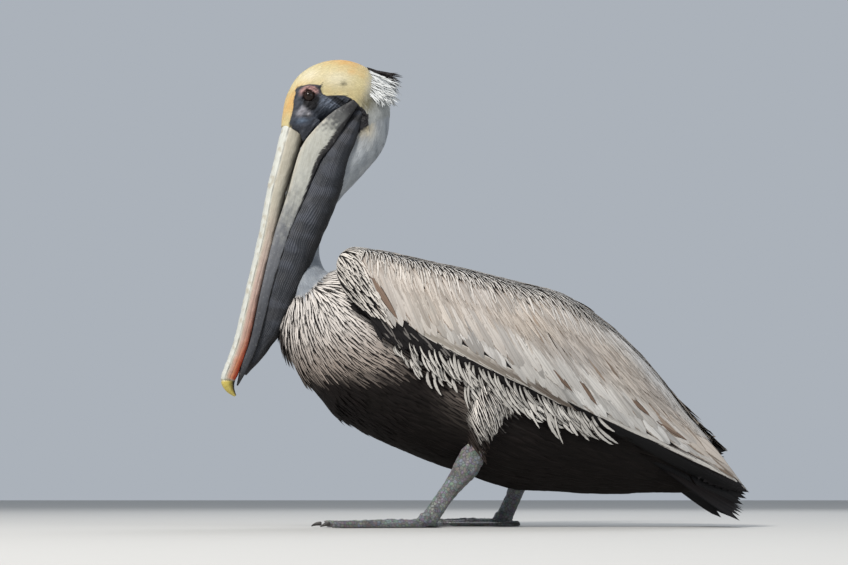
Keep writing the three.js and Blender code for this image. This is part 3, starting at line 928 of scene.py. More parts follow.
def skin_material():
    material, graph, shader, where = new_material("skin")
    tint = graph.attribute("tint")
    bare = graph.attribute("bare", "Fac")
    fine = graph.noise(where, 900.0, 4.0)
    cells = graph.node("ShaderNodeTexVoronoi", {"feature": "DISTANCE_TO_EDGE"}, {"Vector": where, "Scale": 650.0})
    creases = cells.smooth(0.0, 0.09)
    dark = graph.mix(0.5, tint, (0.02, 0.02, 0.025), "MULTIPLY")
    colour = graph.mix((1.0 - creases) * bare * 0.35, tint, dark)
    colour = graph.mix(fine.smooth(0.35, 0.75) * 0.25, colour, graph.mix(0.06, colour, (0.8, 0.85, 0.95)))
    roughness = 0.82 - bare * 0.36 + fine * 0.08
    bump = (fine * 0.5 + creases * bare) * 0.6
    finish_shader(graph, shader, colour, roughness, bump, 0.55, 0.0004, Specular_IOR_Level=0.2)
    return material


class PELICAN_OT_skin(bpy.types.Operator):
    """Makes the one skin that lies under the whole coat, with the bare face's lids and folds"""

    bl_idname = "pelican.skin"
    bl_label = "Skin"

    def execute(self, context):
        sizes = context.scene.pelican_sizes
        colours = context.scene.pelican_colours
        mesh = raw_body(sizes.skin_step)
        points, edges = points_of(mesh), edges_of(mesh)
        shares = region_shares(points)
        shares = softened(shares, edges, 4)
        head_share = (shares[:, 0] + shares[:, 1]).clip(0, 1)
        points = relax(points, edges, 14, 1 - 0.7 * head_share)
        set_points(mesh, points)
        depths = np.array([sizes.head_depth, sizes.neck_depth, sizes.body_depth, sizes.wing_depth, 0.003])
        depth = shares @ depths * 1000
        depth *= 1 - 0.85 * bareness(points)
        points = relax(sunk(mesh, points, depth), edges, 2)
        set_points(mesh, points)
        set_attribute(mesh, "shares_a", shares[:, :3], "FLOAT_VECTOR")
        set_attribute(mesh, "shares_b", shares[:, 2:5], "FLOAT_VECTOR")
        mesh = refined_face(mesh)
        set_points(mesh, carve_face(points_of(mesh)))
        self.mark(mesh, colours)
        self.unwrap(mesh)
        body = piece("skin_body", mesh, FLESH_NODES, skin_material())
        skins["body"] = body
        return {"FINISHED"}

    def mark(self, mesh, colours):
        """Stores the markings and the lie of the coat on the skin."""
        points, normals, edges = points_of(mesh), normals_of(mesh), edges_of(mesh)
        first = get_attribute(mesh, "shares_a", 3)
        second = get_attribute(mesh, "shares_b", 3)
        shares = np.concatenate([first[:, :2], second], 1)
        shares = shares / np.maximum(shares.sum(1, keepdims=True), 1e-6)
        lie = softened(lie_of_coat(points, normals, shares), edges, 12)
        lie = unit(lie - normals * np.einsum("ij,ij->i", lie, normals)[:, None])
        bare = bareness(points)
        middle, edge, streak = trunk_colours(points, normals, colours)
        thigh = shares[:, 4]
        middle = blend(middle, paint(226, 220, 212), thigh * step_between(100, 120, points[:, 2]))
        middle = blend(middle, paint(70, 60, 54), thigh * step_between(112, 92, points[:, 2]))
        coat = middle.copy()
        under = blend(middle * 0.25, colours.edge[:], np.full(len(points), 0.75))
        pale = step_between(0.35, 0.65, shares[:, 0])
        white = step_between(0.35, 0.65, shares[:, 0] + shares[:, 1])
        for base in (coat, under):
            base[:] = blend(base, neck_colour(points, colours), white)
            base[:] = blend(base, head_colour(points, colours), pale)
        edge = blend(edge, coat * 0.9, white)
        under = blend(under, face_colour(points, colours), bare)
        set_attribute(mesh, "tint", under, "FLOAT_COLOR")
        set_attribute(mesh, "feather", coat, "FLOAT_COLOR")
        set_attribute(mesh, "rim", edge, "FLOAT_COLOR")
        set_attribute(mesh, "streak", streak)
        set_attribute(mesh, "bare", bare)
        set_attribute(mesh, "lie", lie, "FLOAT_VECTOR")
        self.cover(mesh, points, normals, shares, bare)

    def cover(self, mesh, points, normals, shares, bare):
        """Stores how thickly each coat grows at each point of the skin."""
        head, neck, trunk, wing, thigh = shares.T
        clear = 1 - step_between(0.05, 0.5, bare)
        s, h, y = trunk_place(points)
        plush = step_between(0.3, 0.6, head) * clear
        plush *= 1 - step_between(443, 440, points[:, 2]) * (points[:, 0] < -205)
        throat = step_between(0.3, 0.6, neck) * clear
        body = step_between(0.3, 0.6, trunk) * (1 - step_between(0.2, 0.6, wing))
        hidden = ((np.abs(y) < 60) & (s > 60) & (h > 60)) | ((s > 390) & (h > 22))
        body = np.where(hidden, 0, body)
        body *= 1 - step_between(-2, 0, h - wing_edge(s) + np.interp(s, [60, 100], [7, 3])) * (s > 28) * (s < 195) * (np.abs(y) > 36)
        ahead = step_between(175, 150, s - 0.35 * h)
        set_attribute(mesh, "cover_head", plush)
        set_attribute(mesh, "cover_neck", throat)
        set_attribute(mesh, "cover_breast", body * (ahead > 0.5))
        set_attribute(mesh, "cover_belly", body * (ahead <= 0.5))
        set_attribute(mesh, "cover_thigh", step_between(0.3, 0.6, thigh))

    def unwrap(self, mesh):
        """Unwraps the skin by its own shape; each tuft takes its place from this map."""
        holder = bpy.data.objects.new("holder", mesh)
        bpy.context.scene.collection.objects.link(holder)
        bpy.context.view_layer.objects.active = holder
        holder.select_set(True)
        mesh.uv_layers.new(name="SkinMap")
        bpy.ops.object.mode_set(mode="EDIT")
        bpy.ops.mesh.select_all(action="SELECT")
        bpy.ops.uv.smart_project(angle_limit=math.radians(66), island_margin=0.002)
        bpy.ops.object.mode_set(mode="OBJECT")
        bpy.data.objects.remove(holder)


# ---- Eyes ----


def eye_material():
    material, graph, shader, where = new_material("eye")
    colour = graph.attribute("tint")
    streaks = graph.noise(where, 2600.0, 3.0)
    colour = graph.mix(streaks.smooth(0.4, 0.8) * 0.35, colour, graph.mix(0.5, colour, (0.25, 0.12, 0.06)))
    finish_shader(graph, shader, colour, 0.07 + streaks * 0.02, None, Specular_IOR_Level=0.3)
    return material


class PELICAN_OT_eyes(bpy.types.Operator):
    """Makes the two dark brown eyes"""

    bl_idname = "pelican.eyes"
    bl_label = "Eyes"

    def execute(self, context):
        material = eye_material()
        for side, name in ((LEFT, "left"), (RIGHT, "right")):
            centre, axis = eye_axis(side)
            flat = unit(np.cross(axis, [0, 0, 1.0]))
            high = np.cross(flat, axis)
            a = np.linspace(0.03, np.pi - 0.03, 40)[:, None, None]
            b = (2 * np.pi * np.arange(48) / 48)[None, :, None]
            bulge = 1 + 0.10 * np.exp(-((a / 0.62) ** 2))
            ring = axis * np.cos(a) * bulge + (flat * np.cos(b) + high * np.sin(b)) * np.sin(a)
            points, faces = tube(centre + EYE_RADIUS * 0.985 * ring)
            angle = np.concatenate([np.repeat(a.ravel(), 48), [0, np.pi]])
            tint = np.tile(np.array(paint(16, 12, 12)), (len(points), 1))
            tint = blend(tint, paint(25, 16, 13), step_between(0.90, 0.76, angle))
            tint = blend(tint, paint(20, 13, 10), step_between(0.60, 0.46, angle))
            tint = blend(tint, paint(3, 3, 4), step_between(0.40, 0.34, angle))
            mesh = mesh_from("eye_" + name, turn_head(points), faces)
            set_attribute(mesh, "tint", tint, "FLOAT_COLOR")
            piece("eyeball_" + name, mesh, ["eye_" + name], material)
        return {"FINISHED"}


# ---- Bill and pouch ----


def horn_material(name, roughness, grain):
    """Horn with fine lengthwise grain and small pits, over the piece's own colours."""
    material, graph, shader, where = new_material(name)
    tint = graph.attribute("tint")
    turned = graph.node("ShaderNodeMapping", None, {"Vector": where, "Rotation": (0, math.radians(-14), 0)})
    along = graph.stretched(turned, (1.0, 1.0, 0.06))
    fibres = graph.noise(along, grain, 4.0)
    flakes = graph.noise(where, 420.0, 5.0, 0.65)
    pits = graph.noise(where, 1500.0, 2.0).smooth(0.62, 0.75)
    worn = graph.mix(0.6, tint, (0.32, 0.27, 0.19), "MULTIPLY")
    colour = graph.mix(fibres.smooth(0.45, 0.75) * 0.5, tint, worn)
    colour = graph.mix(flakes.smooth(0.55, 0.75) * 0.35, colour, graph.mix(0.45, colour, (1, 1, 0.96)))
    colour = graph.mix(pits * 0.4, colour, worn)
    height = fibres * 0.6 + flakes * 0.5 - pits * 0.4
    finish_shader(graph, shader, colour, roughness + flakes * 0.2, height, 0.5, 0.0005)
    return material


def ring_angles(rings, sides):
    """Angle and place along for each point of a tube, with its two end points."""
    angle = np.tile(2 * np.pi * np.arange(sides) / sides, rings)
    along = np.repeat(np.linspace(0, 1, rings), sides)
    return np.concatenate([angle, [0, 0]]), np.concatenate([along, [0, 1]])


def upper_bill_shape():
    """The upper bill and its nail as one tube: points, faces, angle and place along."""
    rings, sides = 220, 96
    rows = sweep(UPPER_BILL, rings, sides, 2.3)
    angle, along = ring_angles(rings, sides)
    points, faces = tube(rows)
    return points, faces, angle, along


def upper_bill_height(points, angle):
    """Height above the lower edge as a share, 1 at the culmen. The culmen is at -90 degrees."""
    return 0.5 - 0.5 * np.sin(angle)


class PELICAN_OT_bill(bpy.types.Operator):
    """Makes the upper bill with its grooves, the nail, and the two sides of the lower bill"""

    bl_idname = "pelican.bill"
    bl_label = "Bill"

    def execute(self, context):
        colours = context.scene.pelican_colours
        horn = horn_material("bill_horn", 0.34, 900.0)
        self.upper(colours, horn)
        self.jaw(colours)
        return {"FINISHED"}

    def upper(self, colours, horn):
        points, faces, angle, along = upper_bill_shape()
        high = upper_bill_height(points, angle)
        centre = np.repeat(points[:-2].reshape(220, 96, 3).mean(1), 96, axis=0)
        centre = np.concatenate([centre, points[-2:]])
        outward = unit(points - centre)
        free = step_between(0.03, 0.12, along) * step_between(0.86, 0.8, along)
        groove = np.exp(-(((high - 0.71) / 0.022) ** 2))
        second = np.exp(-(((high - 0.42) / 0.018) ** 2)) * step_between(0.3, 0.5, along)
        wave = 0.25 * ripples(points, 14, 2) + 0.12 * ripples(points, 5, 4)
        nail = step_between(0.80, 0.83, along)
        lip = np.exp(-(((along - 0.815) / 0.006) ** 2)) * step_between(0.2, 0.4, high)
        depth = (1.5 * groove + 0.6 * second) * free + wave * free + 0.8 * lip
        points = points - outward * depth[:, None]
        cream = np.tile(np.array(colours.horn[:]), (len(points), 1))
        tint = blend(cream, paint(174, 168, 152), step_between(0.7, 0.66, high))
        pink = step_between(0.30, 0.52, along) * step_between(0.84, 0.7, along)
        tint = blend(tint, paint(190, 160, 150), pink * step_between(0.72, 0.5, high) * 0.8)
        grey = step_between(0.12, 0.03, along) * step_between(0.75, 0.6, high)
        tint = blend(tint, paint(150, 138, 112), grey * 0.5)
        red = step_between(0.46, 0.72, along) * step_between(0.82, 0.78, along)
        tint = blend(tint, paint(202, 118, 66), red * step_between(0.66, 0.36, high + 0.1 * wave) * 0.8)
        tint = blend(tint, paint(190, 72, 40), red * step_between(0.42, 0.16, high + 0.1 * wave))
        tint = blend(tint, paint(116, 70, 50), step_between(0.10, 0.02, high) * 0.7)
        dark = groove * (0.55 + 0.35 * ripples(points, 22, 6)) + 0.6 * second
        tint = blend(tint, paint(74, 62, 52), np.clip(dark, 0, 0.85) * free)
        scuff = step_between(0.35, 0.9, ripples(points * [1, 1, 0.35], 5, 8)) * step_between(0.55, 0.9, high)
        tint = blend(tint, paint(150, 132, 96), scuff * 0.4)
        yellow = paint(196, 178, 88)
        nail_tint = blend(np.tile(np.array(yellow), (len(points), 1)), paint(134, 118, 46), step_between(0.6, 0.3, high))
        under = step_between(0.30, 0.14, high + 0.05 * wave)
        nail_tint = blend(nail_tint, paint(48, 44, 40), under)
        tint = blend(tint, nail_tint, nail)
        self.split_nail(points, faces, tint, horn)

    def split_nail(self, points, faces, tint, horn):
        """Parts the tube at the nail, and closes both ends."""
        rings, sides, cut = 220, 96, 178
        rows = points[:-2].reshape(rings, sides, 3)
        shade = tint[:-2].reshape(rings, sides, 3)
        for name, node, slot, part in (
            ("bill_horn_upper", "bill_upper", "bill_horn", slice(0, cut + 1)),
            ("bill_tip_nail", "bill_nail", "nail_horn", slice(cut, rings)),
        ):
            made, sides_faces = tube(rows[part])
            colour = shade[part]
            colour = np.concatenate([colour.reshape(-1, 3), colour[0, :1], colour[-1, :1]])
            mesh = mesh_from(name, made, sides_faces)
            set_attribute(mesh, "tint", colour, "FLOAT_COLOR")
            piece(name, mesh, [node], horn)

    def jaw(self, colours):
        """The lower bill's two thin sides: pale horn that breaks up along its lower edge."""
        rings, sides = 200, 64
        meshes = []
        for side in (LEFT, RIGHT):
            points, faces = tube(sweep(on_side(JAW, side), rings, sides, 2.6))
            angle, along = ring_angles(rings, sides)
            high = 0.5 - 0.5 * np.sin(angle)
            wave = 0.3 * ripples(points, 9, 12 + side) + 0.15 * ripples(points, 3.5, 15)
            points[:, 1] += side * wave * 0.6
            ragged = 0.14 + 0.03 * ripples(points * [2.0, 1, 1.2], 2.6, 18) + 0.03 * ripples(points, 12, 19)
            ragged = ragged + 0.14 * step_between(0.5, 0.2, along) * step_between(0.03, 0.16, along)
            tint = np.tile(np.array(paint(180, 180, 171)), (len(points), 1))
            tint = blend(tint, paint(160, 152, 134), step_between(0.75, 0.95, high) * 0.5)
            tint = blend(tint, paint(102, 104, 109), step_between(0.36, 0.60, along + 0.1 * wave))
            tint = blend(tint, paint(58, 60, 66), step_between(0.55, 0.78, along))
            tint = blend(tint, paint(30, 29, 31), step_between(0.86, 0.97, along))
            mottle = step_between(0.22, 0.12, along + 0.03 * ripples(points, 6, 17))
            tint = blend(tint, paint(58, 59, 62), mottle * 0.9)
            tint = blend(tint, paint(30, 29, 31), step_between(0.10, 0.05, along))
            tint = blend(tint, paint(26, 24, 26), step_between(ragged + 0.03, ragged - 0.04, high))
            mesh = mesh_from("jaw", points, faces)
            set_attribute(mesh, "tint", tint, "FLOAT_COLOR")
            meshes.append(mesh)
        material = horn_material("jaw_horn", 0.5, 700.0)
        piece("bill_horn_lower", joined(meshes), ["bill_lower"], material).data.shade_smooth()


def pouch_material():
    material, graph, shader, where = new_material("pouch_skin")
    tint = graph.attribute("tint")
    ridge = graph.attribute("ridge", "Fac")
    fine = graph.noise(where, 1300.0, 4.0)
    broad = graph.noise(where, 60.0, 3.0)
    # Painted highlight: the crests of the fine folds are made paler.
    pale = graph.mix(0.30, tint, (0.40, 0.41, 0.43))
    colour = graph.mix((ridge * fine.smooth(0.35, 0.65)) * 0.75, tint, pale)
    colour = graph.mix(broad.smooth(0.4, 0.75) * 0.25, colour, graph.mix(0.6, colour, (0.09, 0.08, 0.075)))
    roughness = 0.55 - ridge * 0.1 + fine * 0.08
    finish_shader(graph, shader, colour, roughness, fine, 0.4, 0.0004, Specular_IOR_Level=0.25)
    return material


class PELICAN_OT_pouch(bpy.types.Operator):
    """Makes the folded pouch with its fine lengthwise wrinkles"""

    bl_idname = "pelican.pouch"
    bl_label = "Pouch"

    def execute(self, context):
        colours = context.scene.pelican_colours
        rings, sides = 200, 320
        points, faces = tube(sweep(POUCH, rings, sides, 2.2))
        angle, along = ring_angles(rings, sides)
        centre = np.repeat(points[:-2].reshape(rings, sides, 3).mean(1), sides, axis=0)
        outward = unit(points - np.concatenate([centre, points[-2:]]))
        sway = 0.10 * ripples(points, 60, 3) + 0.035 * ripples(points, 18, 5)
        folds = np.cos(64 * (angle + sway))
        broad = np.cos(17 * (angle + 1.4 * sway) + 1.0)
        wave = ripples(points, 26, 9)
        free = step_between(0.0, 0.05, along) * step_between(1.0, 0.93, along)
        depth = (0.28 * folds * (0.7 + 0.4 * wave) + 0.12 * broad + 0.22 * wave) * free
        points = points + outward * depth[:, None]
        tint = np.tile(np.array(colours.pouch[:]), (len(points), 1))
        # Painted shade: the pouch's rear side, toward the neck and away from the light, is made near-black.
        rear = step_between(0.25, 0.9, np.sin(angle))
        tint = blend(tint, paint(10, 10, 12), rear)
        tint = blend(tint, paint(26, 25, 28), step_between(0.80, 0.96, along))
        tint = blend(tint, paint(20, 19, 21), step_between(0.16, 0.06, along))
        tint = blend(tint, paint(70, 74, 84), step_between(-0.2, 0.8, wave) * (1 - rear) * 0.5)
        mesh = mesh_from("pouch_skin", points, faces)
        set_attribute(mesh, "tint", tint, "FLOAT_COLOR")
        set_attribute(mesh, "ridge", np.clip(0.5 + 0.5 * folds, 0, 1) ** 3)
        piece("pouch_folds", mesh, ["pouch"], pouch_material())
        return {"FINISHED"}


# ---- Legs, feet and claws ----


def leg_material():
    material, graph, shader, where = new_material("leg_skin")
    tint = graph.attribute("tint")
    cells = graph.node("ShaderNodeTexVoronoi", {"feature": "DISTANCE_TO_EDGE"}, {"Vector": where, "Scale": 330.0})
    shade = graph.node("ShaderNodeTexVoronoi", None, {"Vector": where, "Scale": 330.0}, 1)
    patches = graph.noise(where, 70.0, 5.0, 0.7)
    scales = cells.smooth(0.0, 0.12)
    colour = graph.mix(patches.smooth(0.35, 0.7) * 0.7, tint, (0.055, 0.052, 0.05))
    colour = graph.mix(0.22, colour, shade, "SOFT_LIGHT")
    colour = graph.mix((1.0 - scales) * 0.6, colour, (0.02, 0.018, 0.017))
    bump = scales + graph.noise(where, 900.0) * 0.3
    finish_shader(graph, shader, colour, 0.55 - scales * 0.1, bump, 0.8, 0.0005)
    return material


class PELICAN_OT_legs(bpy.types.Operator):
    """Makes the scaly shanks and webbed feet, and the claws"""

    bl_idname = "pelican.legs"
    bl_label = "Legs and feet"

    def execute(self, context):
        sizes = context.scene.pelican_sizes
        colours = context.scene.pelican_colours
        material = leg_material()
        for name in ("left", "right"):
            nodes = ["shank_" + name, "foot_" + name]
            mesh = joined([merged_node(n, 0.3) for n in nodes])
            mesh = applied(mesh, "REMESH", mode="VOXEL", voxel_size=sizes.leg_step, adaptivity=0.0)
            points, edges = points_of(mesh), edges_of(mesh)
            points = relax(points, edges, 7)
            normals = normals_of(mesh)
            knobs = 0.18 * ripples(points, 4.5, 31) * step_between(1.0, 3.0, points[:, 2])
            points = points + normals * knobs[:, None]
            points[:, 2] = np.maximum(points[:, 2], 0.0)
            set_points(mesh, points)
            tint = np.tile(np.array(colours.leg[:]), (len(points), 1))
            tint = blend(tint, paint(120, 118, 112), step_between(0.2, 0.9, ripples(points, 20, 33)) * 0.6)
            tint = blend(tint, paint(60, 58, 60), step_between(5.5, 3.4, points[:, 2]) * 0.5)
            set_attribute(mesh, "tint", tint, "FLOAT_COLOR")
            mesh.shade_smooth()
            piece("leg_skin_" + name, mesh, nodes, material)
        self.claws()
        return {"FINISHED"}

    def claws(self):
        material = horn_material("claw_horn", 0.35, 1500.0)
        for name in sorted(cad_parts):
            if not name.startswith("claw_"):
                continue
            mesh = applied(merged_node(name), "SUBSURF", levels=2, render_levels=2)
            points = points_of(mesh)
            points[:, 2] = np.maximum(points[:, 2], 0.0)
            set_points(mesh, points)
            tint = np.tile(np.array(paint(46, 42, 40)), (len(points), 1))
            set_attribute(mesh, "tint", tint, "FLOAT_COLOR")
            mesh.shade_smooth()
            piece(name + "_horn", mesh, [name], material)


# ---- Feathers ----


# A feather's two rims stay sharp, so that its flat faces do not shade as if they were round.
RIM_ANGLE = 1.0


def vane(rings, width_at, height, droop, sides=4):
    """A closed feather, 1 long and 1 wide, that points along Y and sinks at its tip.

    Returns its points, its faces, and across (0 to 1) and along (0 to 1) for each point."""
    along = np.linspace(0, 1, rings + 1)[:-1] ** 0.9
    points, place = [], []
    for v in along:
        half = 0.5 * width_at(v)
        ridge = height * (1 - 0.6 * v)
        low = -droop * v * v
        points += [(-half, v, low), (0, v, low + ridge), (half, v, low)]
        place += [(0, v), (0.5, v), (1, v)]
        if sides == 4:
            points.append((0, v, low - 0.35 * ridge))
            place.append((0.5, v))
    points.append((0, 1, -droop))
    place.append((0.5, 1))
    return np.array(points, float), vane_faces(rings, sides), np.array(place, float)


def vane_faces(rings, sides):
    faces = tube_faces(rings, sides)
    tip = rings * sides
    end = tip - sides
    i = np.arange(sides)
    cap = np.stack([end + i, end + (i + 1) % sides, np.full(sides, tip)], 1)
    base = i[::-1][None]
    return [faces[0], cap, base]


def lance(v):
    """A narrow pointed feather's width along its length."""
    return (0.45 + 1.1 * v) * (1 - v**2.6) ** 0.75 if v < 0.5 else (1 - v**2.6) ** 0.75


def blade(v):
    """A broad feather's width, with a rounded end."""
    return min(0.5 + 1.6 * v, 1.0) * (1 - v**6) ** 0.6


def tapered(v):
    """A covert's width: even, then narrowing to a point."""
    return min(0.5 + 1.6 * v, 1.0) * (1 - v**3.4) ** 0.8


def plush(v):
    return 1 - 0.25 * v


def repeated_faces(faces, count, size):
    """The faces of one feather for each of many that follow one another in a mesh."""
    step = np.arange(count)[:, None, None] * size
    return [(f[None] + step).reshape(-1, f.shape[1]) for f in faces]


def corner_values(mesh, values):
    """Values of points carried to the faces' corners."""
    index = np.empty(len(mesh.loops), np.int32)
    mesh.loops.foreach_get("vertex_index", index)
    return values[index]


def add_feather_maps(mesh, place, template, roots):
    """Stores each feather's own map, and its small patch at its root's place on the skin's map."""
    count = len(mesh.vertices) // len(template)
    own = np.tile(place, (count, 1))
    mesh.uv_layers.new(name="Vane").data.foreach_set("uv", corner_values(mesh, own).astype(np.float32).ravel())
    patch = roots + 0.003 * (own - 0.5)
    patch = corner_values(mesh, patch).astype(np.float32)
    mesh.uv_layers.new(name="OFBake").data.foreach_set("uv", patch.ravel())
    mesh.uv_layers.active = mesh.uv_layers["Vane"]


def feather_material(name, shaft, barbs, roughness, fibre):
    """Pale middle, dark edge, a shaft line, lengthwise fibres and slanting barbs, on each feather's map."""
    material, graph, shader, where = new_material(name)
    own = graph.node("ShaderNodeUVMap", {"uv_map": "Vane"})
    split = graph.node("ShaderNodeSeparateXYZ", None, {"Vector": own})
    along = Value(graph, split.socket.node.outputs["Y"])
    across = abs(split * 2.0 - 1.0)
    tint = graph.attribute("feather")
    rim = graph.attribute("rim")
    streak = graph.attribute("streak", "Fac")
    rough = graph.noise(where, 520.0, 3.0)
    edge = (across + (rough - 0.5) * 0.35 - streak).smooth(-0.10, 0.14)
    colour = graph.mix(edge, tint, rim)
    line = across.smooth(0.13, 0.03) * shaft
    colour = graph.mix(line, colour, graph.mix(0.75, tint, (0.05, 0.035, 0.03), "MULTIPLY"))
    lines = graph.node("ShaderNodeCombineXYZ", None, {"X": split * 8.0, "Y": along * 1.6, "Z": streak * 60.0})
    fibres = graph.noise(lines, 1.0, 2.0).smooth(0.42, 0.68)
    colour = graph.mix(fibres * fibre, colour, graph.mix(0.5, colour, rim))
    # Painted shade: each feather darkens toward its root, where the feathers above lie over it.
    root = along.smooth(0.30, 0.0)
    colour = graph.mix(root * 0.55, colour, rim)
    fine = graph.noise(where, 1900.0, 2.0)
    colour = graph.mix(fine.smooth(0.3, 0.8) * 0.16, colour, graph.mix(0.5, colour, (0, 0, 0)))
    slant = (along * barbs + across * barbs * 0.14).maths("SINE")
    finish_shader(graph, shader, colour, roughness + fine * 0.12, slant * 0.3 + fine, 0.25, 0.0002, Specular_IOR_Level=0.14)
    return material


def plush_material():
    """Short soft down: paler tips over a slightly darker depth, painted as shade toward the roots."""
    material, graph, shader, where = new_material("plush")
    own = graph.node("ShaderNodeUVMap", {"uv_map": "Vane"})
    split = graph.node("ShaderNodeSeparateXYZ", None, {"Vector": own})
    along = Value(graph, split.socket.node.outputs["Y"])
    tint = graph.attribute("feather")
    fine = graph.noise(where, 700.0, 3.0)
    deep = graph.mix(0.16, tint, (0.42, 0.38, 0.32), "MULTIPLY")
    # Painted shade: darker toward the tufts' roots.
    colour = graph.mix(along.smooth(-0.1, 0.55), deep, tint)
    colour = graph.mix(fine.smooth(0.35, 0.8) * 0.55, colour, graph.mix(0.4, tint, (0.42, 0.38, 0.32), "MULTIPLY"))
    finish_shader(
        graph, shader, colour, 0.82 + fine * 0.1, fine, 0.2, 0.0002, Sheen_Weight=0.12, Sheen_Roughness=0.5
    )
    return material


def scatter_tree():
    """Feathers over a skin: spaced evenly where it is covered, and turned along its lie."""
    tree = bpy.data.node_groups.new("Coat", "GeometryNodeTree")
    face = tree.interface
    face.new_socket("Geometry", in_out="OUTPUT", socket_type="NodeSocketGeometry")
    face.new_socket("Geometry", in_out="INPUT", socket_type="NodeSocketGeometry")
    for name, kind in (
        ("Feather", "Object"),
        ("Cover", "String"),
        ("Spacing", "Float"),
        ("Width", "Float"),
        ("Length", "Float"),
        ("Unevenness", "Float"),
        ("Lift", "Float"),
        ("Spread", "Float"),
        ("Seed", "Int"),
        ("Finish", "Material"),
    ):
        face.new_socket(name, in_out="INPUT", socket_type="NodeSocket" + kind)
    graph = Graph(tree)
    given = graph.node("NodeGroupInput").socket.node.outputs
    inputs = {s.name: Value(graph, s) for s in given if s.name}
    cover = graph.node("GeometryNodeInputNamedAttribute", {"data_type": "FLOAT"}, {"Name": inputs["Cover"]})
    density = 5.0 / (inputs["Spacing"] * inputs["Spacing"])
    spread = graph.tree.nodes.new("GeometryNodeDistributePointsOnFaces")
    spread.distribute_method = "POISSON"
    graph.put(spread.inputs["Mesh"], inputs["Geometry"])
    graph.put(spread.inputs["Distance Min"], inputs["Spacing"])
    graph.put(spread.inputs["Density Max"], density)
    graph.put(spread.inputs["Density Factor"], cover)
    graph.put(spread.inputs["Seed"], inputs["Seed"])
    points, upright = Value(graph, spread.outputs["Points"]), Value(graph, spread.outputs["Rotation"])
    lie = graph.node("GeometryNodeInputNamedAttribute", {"data_type": "FLOAT_VECTOR"}, {"Name": "lie"})
    turned = graph.node(
        "FunctionNodeAlignRotationToVector", {"axis": "Y", "pivot_axis": "Z"}, {"Rotation": upright, "Vector": lie}
    )
    lean = self_random(graph, inputs["Spread"] * -1.0, inputs["Spread"], 3)
    lift = self_random(graph, inputs["Lift"] * 0.5, inputs["Lift"] * 1.5, 7)
    angles = graph.node("ShaderNodeCombineXYZ", None, {"X": lift, "Z": lean})
    about = graph.node("FunctionNodeEulerToRotation", None, {"Euler": angles})
    rotation = graph.node(
        "FunctionNodeRotateRotation", {"rotation_space": "LOCAL"}, {"Rotation": turned, "Rotate By": about}
    )
    size = self_random(graph, 1.0 - inputs["Unevenness"], inputs["Unevenness"] + 1.0, 11)
    scale = graph.node(
        "ShaderNodeCombineXYZ",
        None,
        {"X": inputs["Width"] * size, "Y": inputs["Length"] * size, "Z": inputs["Length"] * size},
    )
    shape = graph.node("GeometryNodeObjectInfo", None, {"Object": inputs["Feather"]})
    shape = Value(graph, shape.socket.node.outputs["Geometry"])
    placed = graph.node(
        "GeometryNodeInstanceOnPoints",
        None,
        {"Points": points, "Instance": shape, "Rotation": rotation, "Scale": scale},
    )
    real = graph.node("GeometryNodeRealizeInstances", None, {"Geometry": placed})
    done = graph.node("GeometryNodeSetMaterial", None, {"Geometry": real, "Material": inputs["Finish"]})
    graph.node("NodeGroupOutput", None, {"Geometry": done})
    return tree


def self_random(graph, low, high, seed):
    """A number between two others, the same at each run, for each feather."""
    made = graph.tree.nodes.new("FunctionNodeRandomValue")
    made.data_type = "FLOAT"
    graph.put(made.inputs[2], low)
    graph.put(made.inputs[3], high)
    made.inputs["Seed"].default_value = seed
    return Value(graph, made.outputs[1])


def scattered(name, slot, template, material, **inputs):
    """One coat piece, made by the scatter tree over the body's skin."""
    points, faces, place = template
    shape_mesh = mesh_from(name + "_feather", points * 1000 - [CENTRE_X, 0, 0], faces)
    shape = bpy.data.objects.new(name + "_feather", shape_mesh)
    holder = bpy.data.objects.new(name + "_holder", skins["body"].data.copy())
    for made in (shape, holder):
        bpy.context.scene.collection.objects.link(made)
    holder.data.materials.clear()
    tree = bpy.data.node_groups.get("Coat") or scatter_tree()
    modifier = holder.modifiers.new("coat", "NODES")
    modifier.node_group = tree
    names = {s.name: s.identifier for s in tree.interface.items_tree if s.in_out == "INPUT"}
    for key, value in {**inputs, "Feather": shape, "Finish": material}.items():
        modifier[names[key]] = value
    graph = bpy.context.evaluated_depsgraph_get()
    mesh = bpy.data.meshes.new_from_object(holder.evaluated_get(graph))
    for made in (holder, shape):
        bpy.data.objects.remove(made)
    roots = get_attribute(mesh, "SkinMap", 2) if mesh.attributes["SkinMap"].data_type == "FLOAT2" else None
    add_feather_maps(mesh, place, points, roots)
    for extra in ("lie", "shares_a", "shares_b", "SkinMap", "bare", "tint"):
        if extra in mesh.attributes:
            mesh.attributes.remove(mesh.attributes[extra])
    for extra in [a.name for a in mesh.attributes if a.name.startswith("cover_")]:
        mesh.attributes.remove(mesh.attributes[extra])
    vary_shade(mesh, len(points), inputs["Seed"], 0.06 if material.name == "plush" else 0.12)
    mesh.name = name
    mesh.shade_smooth()
    mesh.set_sharp_from_angle(angle=RIM_ANGLE)
    return piece(name, mesh, (), material)


def vary_shade(mesh, size, seed, amount=0.10):
    """Makes each feather a little lighter or darker than the next."""
    rng = np.random.default_rng(seed)
    count = len(mesh.vertices) // size
    shade = np.repeat(1 + rng.normal(0, amount, count).clip(-0.25, 0.25), size)[:, None]
    for name in ("feather", "rim"):
        colour = get_attribute(mesh, name, 4)
        colour[:, :3] = np.clip(colour[:, :3] * shade, 0, 1)
        mesh.attributes[name].data.foreach_set("color", colour.ravel())


